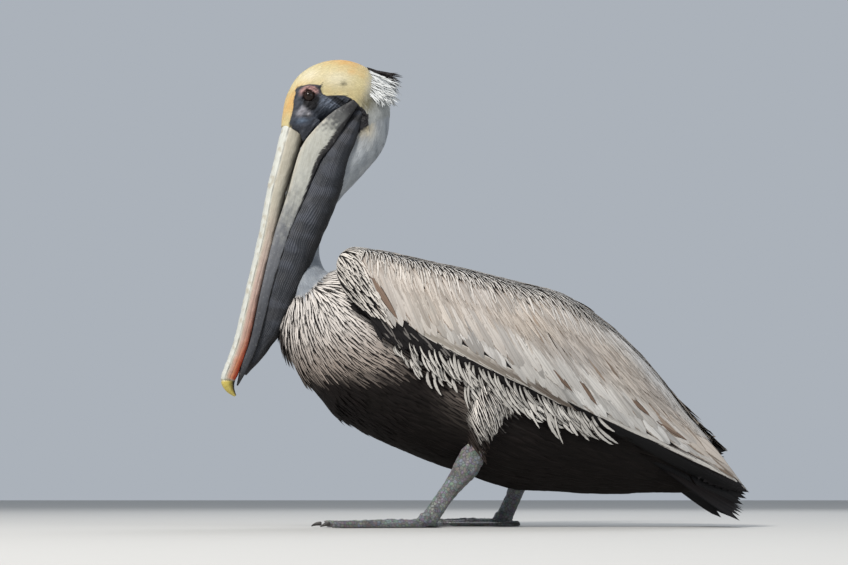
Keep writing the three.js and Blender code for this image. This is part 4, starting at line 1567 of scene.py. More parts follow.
class PelicanPlumage(bpy.types.PropertyGroup):
    head_length: length_prop("Head plush", "Length of a tuft on the head", 0.0046)
    head_spacing: length_prop("Head spacing", "Distance between tufts on the head", 0.00086)
    neck_length: length_prop("Neck plush", "Length of a tuft on the neck", 0.0085)
    neck_spacing: length_prop("Neck spacing", "Distance between tufts on the neck", 0.00114)
    body_length: length_prop("Body feather", "Length of a feather on the breast", 0.026)
    body_width: length_prop("Body width", "Width of a feather on the breast", 0.0047)
    body_spacing: length_prop("Body spacing", "Distance between feathers on the breast", 0.0031)
    thigh_length: length_prop("Thigh feather", "Length of a feather on the thighs", 0.023)
    seed: IntProperty(name="Seed", description="Changes every feather's place", default=5, min=0)


class PELICAN_OT_plush(bpy.types.Operator):
    """Grows the short plush of the head and neck"""

    bl_idname = "pelican.plush"
    bl_label = "Head and neck plush"

    def execute(self, context):
        p = context.scene.pelican_plumage
        tuft = vane(2, plush, 0.028, 0.10, 3)
        material = plush_material()
        common = {"Lift": math.radians(3.5), "Spread": math.radians(11), "Unevenness": 0.25}
        scattered(
            "coat_head", "crown_plumage", tuft, material, Cover="cover_head", Seed=p.seed,
            Spacing=p.head_spacing, Width=0.0012, Length=p.head_length, **common,
        )  # fmt: skip
        scattered(
            "coat_neck", "white_plumage", tuft, material, Cover="cover_neck", Seed=p.seed + 1,
            Spacing=p.neck_spacing, Width=0.0013, Length=p.neck_length, **common,
        )  # fmt: skip
        return {"FINISHED"}


class PELICAN_OT_body_feathers(bpy.types.Operator):
    """Grows the streaked feathers of the breast, the dark ones of the belly and the thighs' own"""

    bl_idname = "pelican.body_feathers"
    bl_label = "Body feathers"

    def execute(self, context):
        p = context.scene.pelican_plumage
        feather = vane(4, lance, 0.05, 0.10)
        material = feather_material("body_feather", 0.0, 160.0, 0.62, 0.2)
        common = {"Spread": math.radians(7), "Unevenness": 0.18}
        for name, cover, more, lift in (
            ("coat_breast", "cover_breast", 1.0, 7),
            ("coat_belly", "cover_belly", 1.12, 5),
        ):
            scattered(
                name, "body_plumage", feather, material, Cover=cover, Seed=p.seed + 2,
                Spacing=p.body_spacing * more, Width=p.body_width * more, Length=p.body_length * more,
                Lift=math.radians(lift), **common,
            )  # fmt: skip
        scattered(
            "coat_thighs", "body_plumage", feather, material, Cover="cover_thigh", Seed=p.seed + 3,
            Spacing=0.0026, Width=0.0033, Length=p.thigh_length, Lift=math.radians(7), **common,
        )  # fmt: skip
        return {"FINISHED"}


# ---- Feathers laid one by one in rows ----


class WingSurface:
    """The wing's outer surface by s along the trunk and v, 0 at its top edge and 1 at its lower."""

    def __init__(self, side):
        self.side = side
        t = np.linspace(0, 1, 400)
        rows = catmull(WING, t)
        self.s_line = rows[:, 0]
        self.stations = np.linspace(30, 532, 160)
        cols = [np.interp(self.stations, self.s_line, rows[:, k]) for k in range(1, 6)]
        top, low, out, y_top, y_low = [c[:, None] for c in cols]
        bulge = (8 * out - y_top - y_low) / 6
        u = np.linspace(0, 1, 65)[None, :]
        k = [(1 - u) ** 3, 3 * u * (1 - u) ** 2, 3 * u * u * (1 - u), u**3]
        y = k[0] * y_top + k[1] * bulge + k[2] * bulge + k[3] * y_low
        h = k[0] * top + k[1] * top + k[2] * (low + 0.35 * (top - low)) + k[3] * low
        length = np.concatenate([0 * top, np.cumsum(np.hypot(np.diff(y), np.diff(h)), 1)], 1)
        self.girth = length[:, -1]
        even = np.linspace(0, 1, 65)
        for i in range(len(y)):
            share = length[i] / length[i, -1]
            y[i], h[i] = np.interp(even, share, y[i]), np.interp(even, share, h[i])
        past = np.maximum(self.stations - WING_FOLD_S, 0)[:, None]
        share = past / (532 - WING_FOLD_S)
        s = self.stations[:, None] - (RIGHT_WING_SHORTER * past if side > 0 else 0) + 0 * y
        self.height = h
        h = h + (RIGHT_WING_LIFT * share * share if side > 0 else 0)
        self.grid = in_trunk(s, h, y * side)
        along, across = np.gradient(self.grid, axis=0), np.gradient(self.grid, axis=1)
        self.normal = unit(np.cross(along, across)) * side

    def look_up(self, grid, s, v):
        i = np.clip((s - 30) / 502 * 159, 0, 158.999)
        j = np.clip(v * 64, 0, 63.999)
        a, b = i.astype(int), j.astype(int)
        f, g = (i - a)[..., None], (j - b)[..., None]
        low = grid[a, b] * (1 - g) + grid[a, b + 1] * g
        high = grid[a + 1, b] * (1 - g) + grid[a + 1, b + 1] * g
        return low * (1 - f) + high * f

    def place(self, s, v):
        """Points on the surface, carried on straight past its end and its lower edge."""
        inside_s, inside_v = np.clip(s, 30, 531), np.clip(v, 0, 0.999)
        base = self.look_up(self.grid, inside_s, inside_v)
        along = (base - self.look_up(self.grid, inside_s - 3, inside_v)) / 3
        down = (base - self.look_up(self.grid, inside_s, inside_v - 0.02)) / 0.02
        past_s, past_v = np.clip(s - inside_s, 0, 5), np.clip(v - 0.999, 0, 0.12)
        return base + along * past_s[..., None] + down * past_v[..., None]

    def girth_at(self, s):
        return np.interp(s, self.stations, self.girth)

    def path(self, s, v, run, angle):
        """s and v at some run from s and v, at an angle down from the trunk's own line."""
        ahead = s + run * np.cos(angle)
        sink = self.height_at(ahead, v) - self.height_at(s, v)
        return ahead, v + (run * np.sin(angle) + step_between(0.2, 0.5, v) * sink) / self.girth_at(ahead)

    def height_at(self, s, v):
        return self.look_up(self.height[..., None], np.clip(s, 30, 531), np.clip(v, 0, 0.999))[..., 0]

    def v_at_height(self, s, h):
        """v where the surface at s has come down to height h."""
        v = np.linspace(0.02, 1, 100)
        heights = self.height_at(np.repeat(s[:, None], 100, 1), np.repeat(v[None], len(s), 0))
        return v[np.argmin(np.abs(heights - h[:, None]), 1)]


def strip_points(centre, normal, half, ridge, side_hint=None):
    """Closed feathers from their middle lines: centre and normal for each ring and the tip."""
    ahead = unit(np.gradient(centre, axis=1))
    side = unit(np.cross(ahead, normal))
    body, n, sd = centre[:, :-1], normal[:, :-1], side[:, :-1]
    half, ridge = half[..., None], ridge[..., None]
    rings = np.stack([body - sd * half, body + n * ridge, body + sd * half, body - n * ridge * 0.35], 2)
    flat = rings.reshape(len(centre), -1, 3)
    return np.concatenate([flat, centre[:, -1:]], 1)


def feather_piece(name, replaces, batches, material):
    """One mesh from batches of feathers, each with points, colours and how broad the middle is."""
    all_points, all_faces, maps, owns = [], [], [], []
    values = {"feather": [], "rim": [], "streak": []}
    start = 0
    tree, skin_map = skin_map_finder()
    for points, rings, profile, feather, rim, streak in batches:
        count, size = points.shape[:2]
        faces = [f + start for f in repeated_faces(vane_faces(rings, 4), count, size)]
        place = vane(rings, profile, 0.1, 0)[2]
        roots = np.array([skin_map[tree.find(tuple(p))[1]] for p in points[:, 0]])
        maps.append(np.repeat(roots, size, 0))
        owns.append(np.tile(place, (count, 1)))
        for key, value in (("feather", feather), ("rim", rim), ("streak", streak)):
            value = np.broadcast_to(value, (count, 3) if key != "streak" else (count,))
            values[key].append(np.repeat(value, size, 0))
        all_points.append(points.reshape(-1, 3))
        all_faces += faces
        start += count * size
    mesh = mesh_from(name, np.concatenate(all_points), all_faces)
    for key in values:
        set_attribute(mesh, key, np.concatenate(values[key]), "FLOAT" if key == "streak" else "FLOAT_COLOR")
    own, roots = np.concatenate(owns), np.concatenate(maps)
    mesh.uv_layers.new(name="Vane").data.foreach_set("uv", corner_values(mesh, own).astype(np.float32).ravel())
    patch = corner_values(mesh, roots + 0.003 * (own - 0.5)).astype(np.float32)
    mesh.uv_layers.new(name="OFBake").data.foreach_set("uv", patch.ravel())
    mesh.uv_layers.active = mesh.uv_layers["Vane"]
    mesh.set_sharp_from_angle(angle=RIM_ANGLE)
    return piece(name, mesh, replaces, material)


def skin_map_finder():
    """A finder of the nearest skin point, and that point's place on the skin's map."""
    if "finder" not in skins:
        mesh = skins["body"].data
        points = points_of(mesh)
        tree = KDTree(len(points))
        for i, p in enumerate(points):
            tree.insert(tuple(p), i)
        tree.balance()
        uv = np.empty(len(mesh.loops) * 2, np.float32)
        mesh.uv_layers["SkinMap"].data.foreach_get("uv", uv)
        index = np.empty(len(mesh.loops), np.int32)
        mesh.loops.foreach_get("vertex_index", index)
        skin_map = np.zeros((len(points), 2))
        skin_map[index] = uv.reshape(-1, 2)
        skins["finder"] = (tree, skin_map)
    return skins["finder"]


# The lower border of the pale coverts: s, h.
PANEL_BORDER = [
    [30, 68], [49, 54], [77, 44], [94, 40], [104, 42], [118, 40], [136, 43], [149, 40], [166, 47],
    [183, 46], [200, 45], [220, 43], [236, 40], [261, 35], [281, 37], [311, 36], [364, 38],
    [409, 38], [445, 37], [483, 34], [508, 31], [532, 30],
]  # fmt: skip


# Brown feathers that show between the pale coverts: s, v, length, angle, width.
BROWN_WEDGES = [
    [72, 0.66, 56, 36, 8.0],
    [276, 0.77, 42, 25, 5.5],
    [309, 0.76, 40, 30, 5.5],
    [368, 0.68, 34, 19, 5.5],
    [409, 0.69, 40, 8, 4.5],
]


def border_height(s):
    border = np.array(PANEL_BORDER, float)
    return np.interp(s, border[:, 0], border[:, 1])


def bend_share(s, v):
    """1 on the wing's bend."""
    limit = np.interp(v, [0.3, 0.5, 0.69, 0.85, 0.95], [42, 50, 72, 99, 112])
    return step_between(limit + 5, limit - 5, s)


def above_panel(s, v):
    """How far v is above the lower limit of the streaked zone along the wing's top."""
    return np.interp(s, [60, 150, 290, 330, 400], [0.37, 0.38, 0.36, 0.20, 0.11]) - v


def scaly(s, v):
    """1 where the coverts are short black-edged scales: on the wing's bend and along its top."""
    return np.maximum(bend_share(s, v), step_between(-0.08, 0.09, above_panel(s, v)))


def covert_angle(s, v):
    """Degrees that a covert points down from the trunk's own line."""
    base = np.interp(s, [30, 100, 200, 300, 400, 470, 532], [52, 50, 42, 34, 24, 15, 5])
    base = base + 26 * step_between(-0.08, 0.04, above_panel(s, v)) * step_between(350, 280, s)
    base = base - 30 * step_between(0.2, 0.05, v)
    bend = np.interp(v, [0.3, 0.5, 0.7, 0.95], [24, 38, 34, 26])
    return base + (bend - base) * bend_share(s, v)


def laid_on_wing(surface, s, v, angle, length, width, rings, profile, rise, base, curl=0.0):
    """Feathers that follow the wing's surface from their roots at s and v."""
    t = np.linspace(0, 1, rings + 1)[None, :]
    a = np.radians(angle)[:, None] + curl * t
    run = length[:, None] * t
    ss, vv = surface.path(s[:, None], v[:, None], run, a)
    centre = surface.place(ss, vv)
    normal = unit(surface.look_up(surface.normal, np.clip(ss, 30, 531), np.clip(vv, 0, 0.999)))
    lift = base - 2.2 + rise[:, None] * t
    centre = centre + normal * lift[..., None]
    widths = np.array([profile(x) for x in t[0, :-1]])
    half = 0.5 * width[:, None] * widths[None]
    ridge = (0.10 * width)[:, None] * (1 - 0.6 * t[:, :-1])
    return strip_points(centre, normal, half, ridge)


def staggered(rng, first, last, step, gap):
    """Roots in staggered rows over the wing: s and v."""
    s, v = [], []
    for row in np.arange(first, last, step):
        places = np.arange(26 + gap * rng.random(), 520, gap)
        s.append(places + rng.normal(0, 0.15 * gap, len(places)))
        v.append(row + rng.normal(0, 0.2 * step, len(places)))
    return np.concatenate(s), np.concatenate(v)


class PELICAN_OT_wings(bpy.types.Operator):
    """Lays the coverts, the dark flight feathers and the long pale secondaries on both wings"""

    bl_idname = "pelican.wings"
    bl_label = "Wings"

    def execute(self, context):
        colours = context.scene.pelican_colours
        seed = context.scene.pelican_plumage.seed
        material = feather_material("covert_feather", 0.25, 260.0, 0.55, 0.45)
        dark = feather_material("flight_feather", 0.4, 300.0, 0.45, 0.4)
        for side, name in ((LEFT, "left"), (RIGHT, "right")):
            rng = np.random.default_rng(seed + side)
            surface = WingSurface(side)
            coverts = self.coverts(surface, rng, colours)
            feather_piece(f"coverts_{name}", (), coverts, material)
            flight = self.flight(surface, rng, colours)
            node = "flight_feathers_" + name
            feather_piece(f"flight_vanes_{name}", [node], flight, dark)
        return {"FINISHED"}

    def coverts(self, surface, rng, colours):
        """Broad coverts along the lower border, long pale ones over them, and black-edged scales."""
        batches = []
        for first, above in ((66, 0), (70.5, 8)):
            s = np.arange(first, 500, 9.0)
            drop = 54 * np.sin(np.radians(covert_angle(s, 0 * s + 0.7)))
            v = surface.v_at_height(s, border_height(s) + drop + above) + rng.normal(0, 0.01, len(s))
            batches.append(self.row(surface, rng, colours, s, v, 58, 15, 8, above, 0.04 * above - 0.3))
        s, v = staggered(rng, 0.10, 0.86, 0.052, 2.5)
        plain = scaly(s, v) < rng.uniform(0.2, 0.8, len(s))
        long = np.interp(v, [0.15, 0.4, 0.6, 0.75], [33, 40, 50, 54])
        batches.append(self.row(surface, rng, colours, s[plain], v[plain], long[plain], 3.7, 6, 12, 0.1))
        s, v = staggered(rng, 0.05, 0.97, 0.060, 5.4)
        bend = bend_share(s, v) > rng.uniform(0.35, 0.65, len(s))
        batches.append(self.row(surface, rng, colours, s[bend], v[bend], 20, 5.8, 5, 0, 0.2))
        s, v = staggered(rng, -0.01, 0.55, 0.047, 3.2)
        top = (scaly(s, v) > rng.uniform(0.1, 0.8, len(s))) & (bend_share(s, v) < 0.5)
        batches.append(self.row(surface, rng, colours, s[top], v[top], 21, 3.4, 5, 0, 0.2))
        batches += self.flank_rows(surface, rng)
        s, v, long, angle, broad = np.array(BROWN_WEDGES, float).T
        points = laid_on_wing(surface, s, v, angle, long, broad, 8, tapered, np.full(len(s), 1.6), 0.9)
        brown = np.tile(np.array(paint(124, 104, 90)), (len(s), 1))
        batches.append((points, 8, tapered, brown, np.array(paint(60, 50, 44)), 0.75))
        return batches

    def flank_rows(self, surface, rng):
        """White plumes that cross the wing's lower edge."""
        made = []
        for first, drop in ((142, -6.0), (136, 0.0)):
            s = np.arange(first, 350, 5.6)
            s = s + rng.normal(0, 1.0, len(s))
            high = np.interp(s, [128, 150, 183, 206, 238, 269, 311, 350], [28, 30, 35, 34, 34, 32, 32, 33])
            angle = np.interp(s, [128, 200, 300, 350], [62, 62, 52, 40]) + rng.normal(0, 7, len(s))
            size = rng.uniform(0.6, 1.15, len(s)) * np.interp(s, [130, 230], [0.7, 1.0])
            v = surface.v_at_height(s, high + drop + rng.normal(0, 1.5, len(s)))
            broad = size * rng.uniform(4.2, 6.8, len(s))
            points = laid_on_wing(surface, s, v, angle, 28 * size, broad, 6, lance, 0.9 + size, 0.9, -0.3)
            tint = np.array(paint(234, 229, 221)) * rng.uniform(0.65, 1.05, (len(s), 1))
            made.append((points, 6, lance, tint, np.array(paint(30, 25, 23)), 0.64))
        return made

    def row(self, surface, rng, colours, s, v, long, broad, rings, above, base):
        """Coverts of one kind, cut so that their tips end above the wing's lower border."""
        count = len(s)
        full = long * rng.uniform(0.88, 1.12, count)
        length = full
        angle = covert_angle(s, v) + rng.normal(0, 2.2, count)
        margin = above * np.interp(s, [380, 500], [1, 0.15]) + rng.normal(0, 1.5 + 0.15 * above, count)
        margin = margin - 3 * step_between(240, 290, s)
        for _ in range(3):
            tip_s, tip_v = surface.path(s, v, length, np.radians(angle))
            tip_s = np.minimum(tip_s, 531)
            end_v = surface.v_at_height(tip_s, border_height(tip_s) + margin)
            share = np.clip((end_v - v) / np.maximum(tip_v - v, 1e-3), 0.0, 1.0)
            length = np.where(tip_v > end_v, length * share, length)
        keep = (length > 0.42 * full) & (s + length * np.cos(np.radians(angle)) < 537)
        s, v, angle, length = s[keep], v[keep], angle[keep], length[keep]
        width = broad * rng.uniform(0.85, 1.15, len(s))
        rise = (1.6 if rings == 5 else 0.7) + 0.014 * length + rng.uniform(0, 0.5, len(s))
        shape = lance if rings == 5 else tapered
        points = laid_on_wing(surface, s, v, angle, length, width, rings, shape, rise, base, -0.04)
        return (points, rings, shape, *self.covert_colours(s, v, rng, colours))

    def covert_colours(self, s, v, rng, colours):
        """Black-edged scales at the bend and along the top, silvery buff between."""
        count = len(s)
        scale = scaly(s, v)
        feather = np.tile(np.array(colours.covert[:]), (count, 1))
        cool = 0.5 + 0.5 * np.sin(s / 23 + v * 9) * np.cos(s / 61 - v * 14)
        feather = blend(feather, paint(186, 188, 191), cool * 0.6)
        warm = step_between(0.3, 0.45, v) * step_between(0.75, 0.5, v)
        feather = blend(feather, paint(172, 158, 144), warm * 0.6)
        feather = blend(feather, paint(217, 214, 209), step_between(0.55, 0.8, v) * 0.75)
        feather = blend(feather, paint(206, 200, 192), scale)
        brown = (rng.random(count) < 0.018) & (v > 0.45) & (v < 0.7) & (scale < 0.5)
        feather[brown] = paint(146, 130, 116)
        rim = blend(feather, colours.covert_shade[:], np.full(count, 0.7))
        soft = step_between(0.2, 0.5, v) * (1 - bend_share(s, v))
        rim = blend(rim, blend(np.tile(np.array(paint(16, 13, 13)), (count, 1)), paint(92, 78, 68), soft), scale)
        streak = 0.80 - 0.34 * scale + rng.normal(0, 0.05, count)
        shade = (1 + rng.normal(0, 0.17, count)).clip(0.62, 1.25)
        return feather * shade[:, None], rim, streak

    def flight(self, surface, rng, colours):
        """Dark feathers below the coverts, the secondaries' grey edges, and the black primaries."""
        batches = []
        count = 70
        s = np.linspace(90, 225, count) + rng.normal(0, 2, count)
        for row, drop in enumerate((4.0, -5.0, -13.0)):
            v = surface.v_at_height(s, border_height(s) + 8 + drop)
            length = rng.uniform(20, 30, count)
            angle = np.interp(s, [60, 150, 300, 500], [40, 26, 12, 3]) + rng.normal(0, 4, count)
            width = rng.uniform(5.0, 7.0, count)
            points = laid_on_wing(
                surface, s, v, angle, length, width, 5, lance, 1.0 + 0 * s, base=-0.7 - 0.3 * row
            )
            tint = np.tile(np.array(paint(32, 30, 31)), (count, 1))
            pale = (rng.random(count) < 0.12) & (s < 190)
            tint[pale] = paint(118, 114, 110)
            batches.append((points, 5, lance, tint, np.array(paint(15, 14, 15)), 0.5))
        for first, last, top, low, count, long, lean, broad, rise, base, shades, rim in (
            (130, 262, 51, 42, 11, 74, 9.5, 9.0, -0.9, 0.5, ((156, 148, 138), (104, 91, 80)), (204, 198, 190)),
            (296, 440, 41, 37, 8, 92, 3.0, 6.0, 0.8, 0.3, ((222, 217, 210), (216, 211, 204)), (60, 52, 48)),
            (330, 420, 33, 24, 7, 108, 1.0, 11.0, 1.2, -0.3, ((24, 23, 24), (20, 19, 20)), (12, 12, 13)),
        ):
            s = np.linspace(first, last, count)
            v = surface.v_at_height(s, np.linspace(top, low, count))
            points = laid_on_wing(
                surface, s, v, np.full(count, lean), np.full(count, long), np.full(count, broad),
                12, tapered, np.full(count, rise), base,
            )  # fmt: skip
            tint = blend(np.tile(np.array(paint(*shades[0])), (count, 1)), paint(*shades[1]), np.linspace(0, 1, count))
            batches.append((points, 12, tapered, tint, np.array(paint(*rim)), 0.74))
        batches.append(self.primaries(surface))
        return batches

    def primaries(self, surface):
        """The black tips of the longest feathers, beside the tail."""
        count, rings = 5, 10
        k = np.linspace(0, 1, count)[:, None]
        t = np.linspace(0, 1, rings + 1)[None]
        s = 400 + (133 + 4 * k - 5 * np.sin(7 * k) ** 2) * t
        past = s - WING_FOLD_S
        share = past / (532 - WING_FOLD_S)
        h = 21 + (-10 + 15 * k) * t + (RIGHT_WING_LIFT * share * share if surface.side > 0 else 0)
        y = 44 - 31 * t - 3 * k
        s = s - (RIGHT_WING_SHORTER * past if surface.side > 0 else 0)
        centre = in_trunk(s, h, surface.side * y)
        normal = np.broadcast_to([0.12, surface.side * 1.0, 0.0], centre.shape)
        half = 6.0 * np.array([blade(x) for x in t[0, :-1]])[None] + 0 * centre[:, :-1, 0]
        points = strip_points(centre, unit(normal), half, 0.12 * half)
        return points, rings, blade, np.array(paint(22, 21, 22)), np.array(paint(12, 12, 13)), 0.7


# ---- Feathers that hang or lie over the skin from chosen roots ----


def skin_finder():
    """A finder of the nearest point and normal on the body's skin."""
    if "surface" not in skins:
        mesh = skins["body"].data
        points = points_of(mesh)
        skins["surface"] = BVHTree.FromPolygons(
            [tuple(p) for p in points], [tuple(f.vertices) for f in mesh.polygons]
        )
    return skins["surface"]


def draped(roots, ways, length, width, rings, profile, clear, rise):
    """Feathers that follow the skin from their roots, each in its own way, above it by clear."""
    tree = skin_finder()
    count = len(roots)
    centre = np.zeros((count, rings + 1, 3))
    normal = np.zeros((count, rings + 1, 3))
    for i in range(count):
        p, way = roots[i], ways[i]
        for k in range(rings + 1):
            at, n, _, _ = tree.find_nearest(tuple(p))
            at, n = np.array(at), np.array(n)
            centre[i, k] = at + n * (clear[i] + rise[i] * k / rings)
            normal[i, k] = n
            flat = way - n * (way @ n)
            p = at + unit(flat) * length[i] / rings
    widths = np.array([profile(x) for x in np.linspace(0, 1, rings + 1)[:-1]])
    half = 0.5 * width[:, None] * widths[None]
    ridge = (0.12 * width)[:, None] * np.linspace(1, 0.4, rings)[None]
    return strip_points(centre, normal, half, ridge)


def beside_trunk(s, h, side, clear):
    """Points and normals at a clearance from the trunk's side, at s and h."""
    rows = np.array(TRUNK, float)
    middle, deep, wide = [np.interp(s, rows[:, 0], rows[:, k]) for k in (1, 2, 3)]
    u = np.clip((h - middle) / deep, -0.97, 0.97)
    y = wide * (1 - np.abs(u) ** 2.15) ** (1 / 2.15)
    normal = unit(np.stack([0 * y, y / wide**2, (h - middle) / deep**2], -1))
    c, n = math.cos(BODY_TILT), math.sin(BODY_TILT)
    up, across = normal[..., 2], normal[..., 1]
    points = in_trunk(s, h + up * clear, side * (y + across * clear))
    return points, np.stack([up * n, side * across, up * c], -1)


class PELICAN_OT_flanks(bpy.types.Operator):
    """Hangs the white plumes that show below the wings, and covers the back between them"""

    bl_idname = "pelican.flanks"
    bl_label = "Flank plumes and back"

    def execute(self, context):
        seed = context.scene.pelican_plumage.seed
        colours = context.scene.pelican_colours
        material = feather_material("plume_feather", 0.2, 200.0, 0.6, 0.3)
        batches = []
        for side in (LEFT, RIGHT):
            rng = np.random.default_rng(seed + 40 + side)
            for drop, long, near, last in ((5.0, 31, 9.0, 350), (-1.0, 28, 6.5, 340), (-8.0, 25, 4.0, 232)):
                batches.append(self.plumes(rng, side, drop, long, near, last))
            count = 760
            s = rng.uniform(52, 455, count)
            high = np.interp(s, [50, 330, 400, 455], [118, 150, 120, 86])
            roots = in_trunk(s, high, side * rng.uniform(0, 26, count) * np.interp(s, [300, 455], [1, 0.4]))
            ways = np.tile([math.cos(BODY_TILT), 0.12 * side, -math.sin(BODY_TILT)], (count, 1))
            clear = rng.uniform(1.5, 2.5, count)
            points = draped(
                roots, ways, rng.uniform(26, 36, count), rng.uniform(6, 8, count), 5, lance, clear, np.full(count, 2.0)
            )
            tint = np.tile(np.array(paint(170, 158, 144)), (count, 1)) * rng.uniform(0.8, 1.1, (count, 1))
            batches.append((points, 5, lance, tint, np.array(paint(40, 34, 31)), 0.5))
        batches.append(self.saddle(np.random.default_rng(seed + 44)))
        feather_piece("flank_and_back", (), batches, material)
        return {"FINISHED"}

    def saddle(self, rng):
        """Feathers that bridge the narrow gap between the two wings' upper edges."""
        count, rings = 380, 5
        rows = catmull(WING, np.linspace(0, 1, 200))
        s = rng.uniform(200, 436, (count, 1)) + rng.uniform(24, 32, (count, 1)) * np.linspace(0, 1, rings + 1)
        y = rng.uniform(-1, 1, (count, 1)) * np.interp(s, rows[:, 0], rows[:, 4] + 4)
        share = np.maximum(s - WING_FOLD_S, 0) / (532 - WING_FOLD_S)
        lift = RIGHT_WING_LIFT * share * share * (0.3 + y / 14).clip(0, 0.8)
        high = np.interp(s, rows[:, 0], rows[:, 1]) + lift + rng.uniform(0.5, 2.0, (count, 1))
        high = high - 9 * step_between(300, 230, s) - 3 * step_between(330, 380, s)
        centre = in_trunk(s, high + 1.5 * np.linspace(0, 1, rings + 1), y)
        up = np.array([math.sin(BODY_TILT), 0, math.cos(BODY_TILT)])
        widths = np.array([lance(x) for x in np.linspace(0, 1, rings + 1)[:-1]])
        half = 0.5 * rng.uniform(5.5, 7.5, (count, 1)) * widths
        points = strip_points(centre, np.broadcast_to(up, centre.shape), half, 0.2 * half)
        tint = np.tile(np.array(paint(170, 158, 144)), (count, 1)) * rng.uniform(0.7, 1.1, (count, 1))
        return points, rings, lance, tint, np.array(paint(40, 34, 31)), 0.5

    def plumes(self, rng, side, drop, long, near, last):
        """One row that hangs from under the wing's lower edge, near the trunk at its tips."""
        rings = 6
        s = np.arange(124, last, 3.6)
        s = s[rng.random(len(s)) > 0.04 + 0.2 * (s < 210)]
        count = len(s)
        s = s + rng.normal(0, 3.0, count)
        low = np.interp(s, [116, 176, 270, 320, 378], [28, 21, 25, 26, 24])
        steep = np.radians(np.interp(s, [116, 200, 300, 378], [46, 48, 38, 24]) + rng.normal(0, 8, count))
        t = np.linspace(0, 1, rings + 1)[None]
        steep = steep[:, None] * (1.3 - 0.6 * t * rng.uniform(0.4, 1.4, (count, 1)))
        long = long * rng.uniform(0.5, 1.25, count) * np.interp(s, [120, 230], [0.5, 1.0])
        run = long[:, None] * t
        clear = near * (1 - 0.55 * t) + rng.uniform(0, 1.2, (count, 1))
        down = (low + drop + rng.normal(0, 2, count))[:, None] - run * np.sin(steep)
        centre, normal = beside_trunk(s[:, None] + run * np.cos(steep), down, side, clear)
        widths = np.array([lance(x) for x in t[0, :-1]])
        half = 0.5 * rng.uniform(3.2, 7.4, (count, 1)) * np.interp(s, [120, 230], [0.75, 1.0])[:, None] * widths[None]
        points = strip_points(centre, normal, half, 0.2 * half)
        tint = np.tile(np.array(paint(234, 229, 221)), (count, 1)) * rng.uniform(0.6, 1.1, (count, 1))
        return points, rings, lance, tint, np.array(paint(30, 25, 23)), 0.62


class PELICAN_OT_tail(bpy.types.Operator):
    """Lays the dark tail feathers in their fan"""

    bl_idname = "pelican.tail"
    bl_label = "Tail"

    def execute(self, context):
        rng = np.random.default_rng(context.scene.pelican_plumage.seed + 60)
        material = feather_material("tail_feather", 0.5, 320.0, 0.5, 0.3)
        slope = math.radians(30)
        count, rings = 13, 14
        u = np.linspace(-1, 1, count)
        t = np.linspace(0, 1, rings + 1)
        length = 150 - 5 * u * u - rng.uniform(0, 5, count)
        run = t[None] * length[:, None]
        spread = (24 + (51 - 24) * t[None]) * u[:, None] * 0.93
        arch = 16 * (u * u)[:, None] * t[None]
        layer = (1.6 * (1 - np.abs(u)))[:, None] + 0 * run
        along = np.array([math.cos(slope), 0, -math.sin(slope)])
        up = np.array([math.sin(slope), 0, math.cos(slope)])
        centre = np.array([150, 0, 93]) + run[..., None] * along + (layer - arch)[..., None] * up
        centre[..., 1] += spread
        normal = np.broadcast_to(up, centre.shape) + np.array([0, 0.6, 0]) * u[:, None, None]
        widths = np.array([blade(x) for x in t[:-1]])
        half = 0.5 * np.interp(t[:-1], [0, 1], [13, 19])[None] * widths[None] + 0 * run[:, :-1]
        ridge = np.full_like(half, 0.7)
        points = strip_points(centre, unit(normal), half, ridge)
        tint = np.tile(np.array(paint(26, 23, 23)), (count, 1)) * rng.uniform(0.8, 1.2, (count, 1))
        batches = [(points, rings, blade, tint, np.array(paint(12, 11, 12)), 0.7)]
        for place, flip in ((0.0, 1), (0.0, -1)):
            cover = 46
            s = rng.uniform(-18, 46, cover)
            uu = rng.uniform(-0.9, 0.9, cover)
            run = s[:, None] + np.linspace(0, 1, 6)[None] * rng.uniform(34, 46, (cover, 1))
            wide = (24 + 27 * run / 150) * uu[:, None] * 0.8
            high = flip * (3.4 + 1.2 * np.linspace(0, 1, 6)[None]) - 15 * (uu * uu)[:, None] * run / 150
            centre = np.array([150, 0, 93]) + run[..., None] * along + high[..., None] * up
            centre[..., 1] += wide
            normal = np.broadcast_to(up * flip, centre.shape)
            profile = np.array([lance(x) for x in np.linspace(0, 1, 6)[:-1]])
            half = 0.5 * 9 * profile[None] + 0 * run[:, :-1]
            points = strip_points(centre, normal, half, np.full_like(half, 0.6))
            tint = np.tile(np.array(paint(30, 26, 24)), (cover, 1)) * rng.uniform(0.8, 1.2, (cover, 1))
            batches.append((points, 5, lance, tint, np.array(paint(13, 12, 12)), 0.6))
        feather_piece("tail_vanes", ["tail"], batches, material)
        return {"FINISHED"}


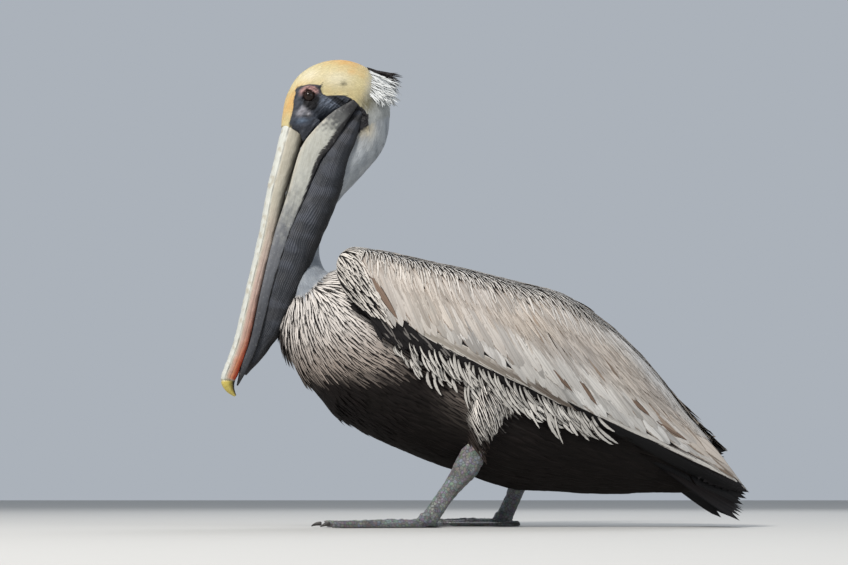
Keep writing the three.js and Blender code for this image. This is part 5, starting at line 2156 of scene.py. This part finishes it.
class PELICAN_OT_crest(bpy.types.Operator):
    """Sets the ragged wisps of the nape's crest"""

    bl_idname = "pelican.crest"
    bl_label = "Crest"

    def execute(self, context):
        rng = np.random.default_rng(context.scene.pelican_plumage.seed + 80)
        material = feather_material("crest_wisp", 0.0, 200.0, 0.6, 0.3)
        count, rings = 640, 7
        q = rng.random(count)
        guess = np.stack([-134 + 8 * rng.random(count), rng.uniform(-10, 10, count), 503 - 34 * q], 1)
        found = [skin_finder().find_nearest(tuple(p)) for p in turn_head(guess)]
        root = head_places(np.array([at + n * 0.8 for at, n, _, _ in found]))
        rise = np.radians(-15 - 24 * q + rng.normal(0, 5, count))
        black = (q < 0.22) & (rng.random(count) < 0.92)
        length = rng.uniform(0.5, 1.08, count) * np.interp(q, [0, 0.25, 1], [38, 32, 19])
        t = np.linspace(0, 1, rings + 1)[None]
        bend = rise[:, None] - np.radians(48) * t * rng.uniform(-0.3, 1.3, (count, 1))
        step = length[:, None] / rings
        x = root[:, :1] + np.concatenate([0 * bend[:, :1], np.cumsum(step * np.cos(bend[:, 1:]), 1)], 1)
        z = root[:, 2:] + np.concatenate([0 * bend[:, :1], np.cumsum(step * np.sin(bend[:, 1:]), 1)], 1)
        y = root[:, 1:2] * (1 + 0.25 * t) + rng.normal(0, 3, (count, 1)) * t * t
        centre = turn_head(np.stack([x, y, z], -1))
        normal = np.zeros_like(centre)
        normal[..., 1] = np.where(root[:, 1:2] < 0, -1.0, 1.0)
        normal[..., 2] = 0.5 + 0.3 * rng.random((count, 1))
        half = rng.uniform(0.6, 1.1, (count, 1)) * np.where(black, 1.3, 1.0)[:, None] * np.array([lance(k) for k in t[0, :-1]])
        points = strip_points(centre, unit(normal), half, half * 0.4)
        tint = np.tile(np.array(paint(216, 218, 217)), (count, 1)) * rng.uniform(0.72, 1.1, (count, 1))
        tint[black] = paint(38, 34, 34)
        rim = tint * 0.9
        feather_piece("crest_wisps", ["crest"], [(points, rings, lance, tint, rim, 0.8)], material)
        return {"FINISHED"}


# ---- Floor, light and camera ----


class PelicanStage(bpy.types.PropertyGroup):
    floor: colour_prop("Floor", "Colour of the floor", paint(186, 185, 182))
    sky: colour_prop("Surround", "Colour of the soft light all round", paint(206, 214, 224))
    distance: length_prop("Camera distance", "From the camera to the bird's middle", 2.0)
    camera_height: length_prop("Camera height", "Height of the camera above the floor", 0.03)


class PELICAN_OT_stage(bpy.types.Operator):
    """Sets the floor, the soft light and the camera"""

    bl_idname = "pelican.stage"
    bl_label = "Stage"

    def execute(self, context):
        stage = context.scene.pelican_stage
        self.floor(stage)
        self.light(context, stage)
        self.camera(context, stage)
        return {"FINISHED"}

    def floor(self, stage):
        material, graph, shader, where = new_material("floor")
        speck = graph.noise(where, 30.0, 4.0)
        colour = graph.mix(speck * 0.12, stage.floor[:], (0.55, 0.54, 0.52))
        finish_shader(graph, shader, colour, 0.9 - speck * 0.1)
        bm = bmesh.new()
        bmesh.ops.create_grid(bm, x_segments=8, y_segments=8, size=30)
        mesh = bpy.data.meshes.new("floor")
        bm.to_mesh(mesh)
        bm.free()
        floor = bpy.data.objects.new("floor", mesh)
        bpy.context.scene.collection.objects.link(floor)
        mesh.materials.append(material)
        floor.location.z = -0.0005

    def light(self, context, stage):
        world = bpy.data.worlds.new("surround")
        world.use_nodes = True
        world.node_tree.nodes["Background"].inputs["Color"].default_value = (*stage.sky[:], 1)
        world.node_tree.nodes["Background"].inputs["Strength"].default_value = 0.66
        context.scene.world = world
        context.scene.view_settings.view_transform = "Standard"
        for name, place, size, power, colour in (
            ("key_light", (-1.5, -1.9, 2.4), 0.7, 110, (1.0, 0.965, 0.92)),
            ("fill_light", (2.2, -1.6, 1.2), 2.0, 12, (0.9, 0.95, 1.0)),
            ("back_light", (0.6, 2.2, 2.2), 1.6, 26, (0.95, 0.97, 1.0)),
        ):
            lamp = bpy.data.lights.new(name, "AREA")
            lamp.shape = "DISK"
            lamp.size = size
            lamp.energy = power
            lamp.color = colour
            made = bpy.data.objects.new(name, lamp)
            made.location = place
            aim = Vector((-0.03, 0, 0.27)) - made.location
            made.rotation_euler = aim.to_track_quat("-Z", "Y").to_euler()
            context.scene.collection.objects.link(made)

    def camera(self, context, stage):
        data = bpy.data.cameras.new("camera")
        data.sensor_width = 36
        data.lens = 36 * stage.distance / 0.9328
        camera = bpy.data.objects.new("camera", data)
        aim = Vector((-0.065, 0, 0.266))
        back = math.sqrt(stage.distance**2 - (aim.z - stage.camera_height) ** 2)
        camera.location = (aim.x, -back, stage.camera_height)
        camera.rotation_euler = (aim - camera.location).to_track_quat("-Z", "Y").to_euler()
        context.scene.collection.objects.link(camera)
        context.scene.camera = camera


# ---- The add-on's panel and the order of work ----

STEPS = [
    PELICAN_OT_skin,
    PELICAN_OT_eyes,
    PELICAN_OT_bill,
    PELICAN_OT_pouch,
    PELICAN_OT_legs,
    PELICAN_OT_plush,
    PELICAN_OT_body_feathers,
    PELICAN_OT_wings,
    PELICAN_OT_flanks,
    PELICAN_OT_tail,
    PELICAN_OT_crest,
    PELICAN_OT_stage,
]
GROUPS = {
    "pelican_sizes": PelicanBodySizes,
    "pelican_colours": PelicanColours,
    "pelican_plumage": PelicanPlumage,
    "pelican_stage": PelicanStage,
}


class PELICAN_PT_build(bpy.types.Panel):
    """The bird's sizes, colours and steps"""

    bl_idname = "PELICAN_PT_build"
    bl_label = "Brown Pelican"
    bl_space_type = "VIEW_3D"
    bl_region_type = "UI"
    bl_category = "Pelican"

    def draw(self, context):
        for step in STEPS:
            self.layout.operator(step.bl_idname)
        for name in GROUPS:
            group = getattr(context.scene, name)
            box = self.layout.box()
            for key in group.bl_rna.properties.keys():
                if key not in ("rna_type", "name"):
                    box.prop(group, key)


def register():
    for group in GROUPS.values():
        bpy.utils.register_class(group)
    for name, group in GROUPS.items():
        setattr(bpy.types.Scene, name, PointerProperty(type=group))
    for step in [*STEPS, PELICAN_PT_build]:
        bpy.utils.register_class(step)


def unregister():
    for step in [PELICAN_PT_build, *reversed(STEPS)]:
        bpy.utils.unregister_class(step)
    for name in GROUPS:
        delattr(bpy.types.Scene, name)
    for group in reversed(list(GROUPS.values())):
        bpy.utils.unregister_class(group)


def main():
    register()
    for step in STEPS:
        area, name = step.bl_idname.split(".")
        getattr(getattr(bpy.ops, area), name)()
    bpy.context.view_layer.update()


if __name__ == "__main__":
    main()
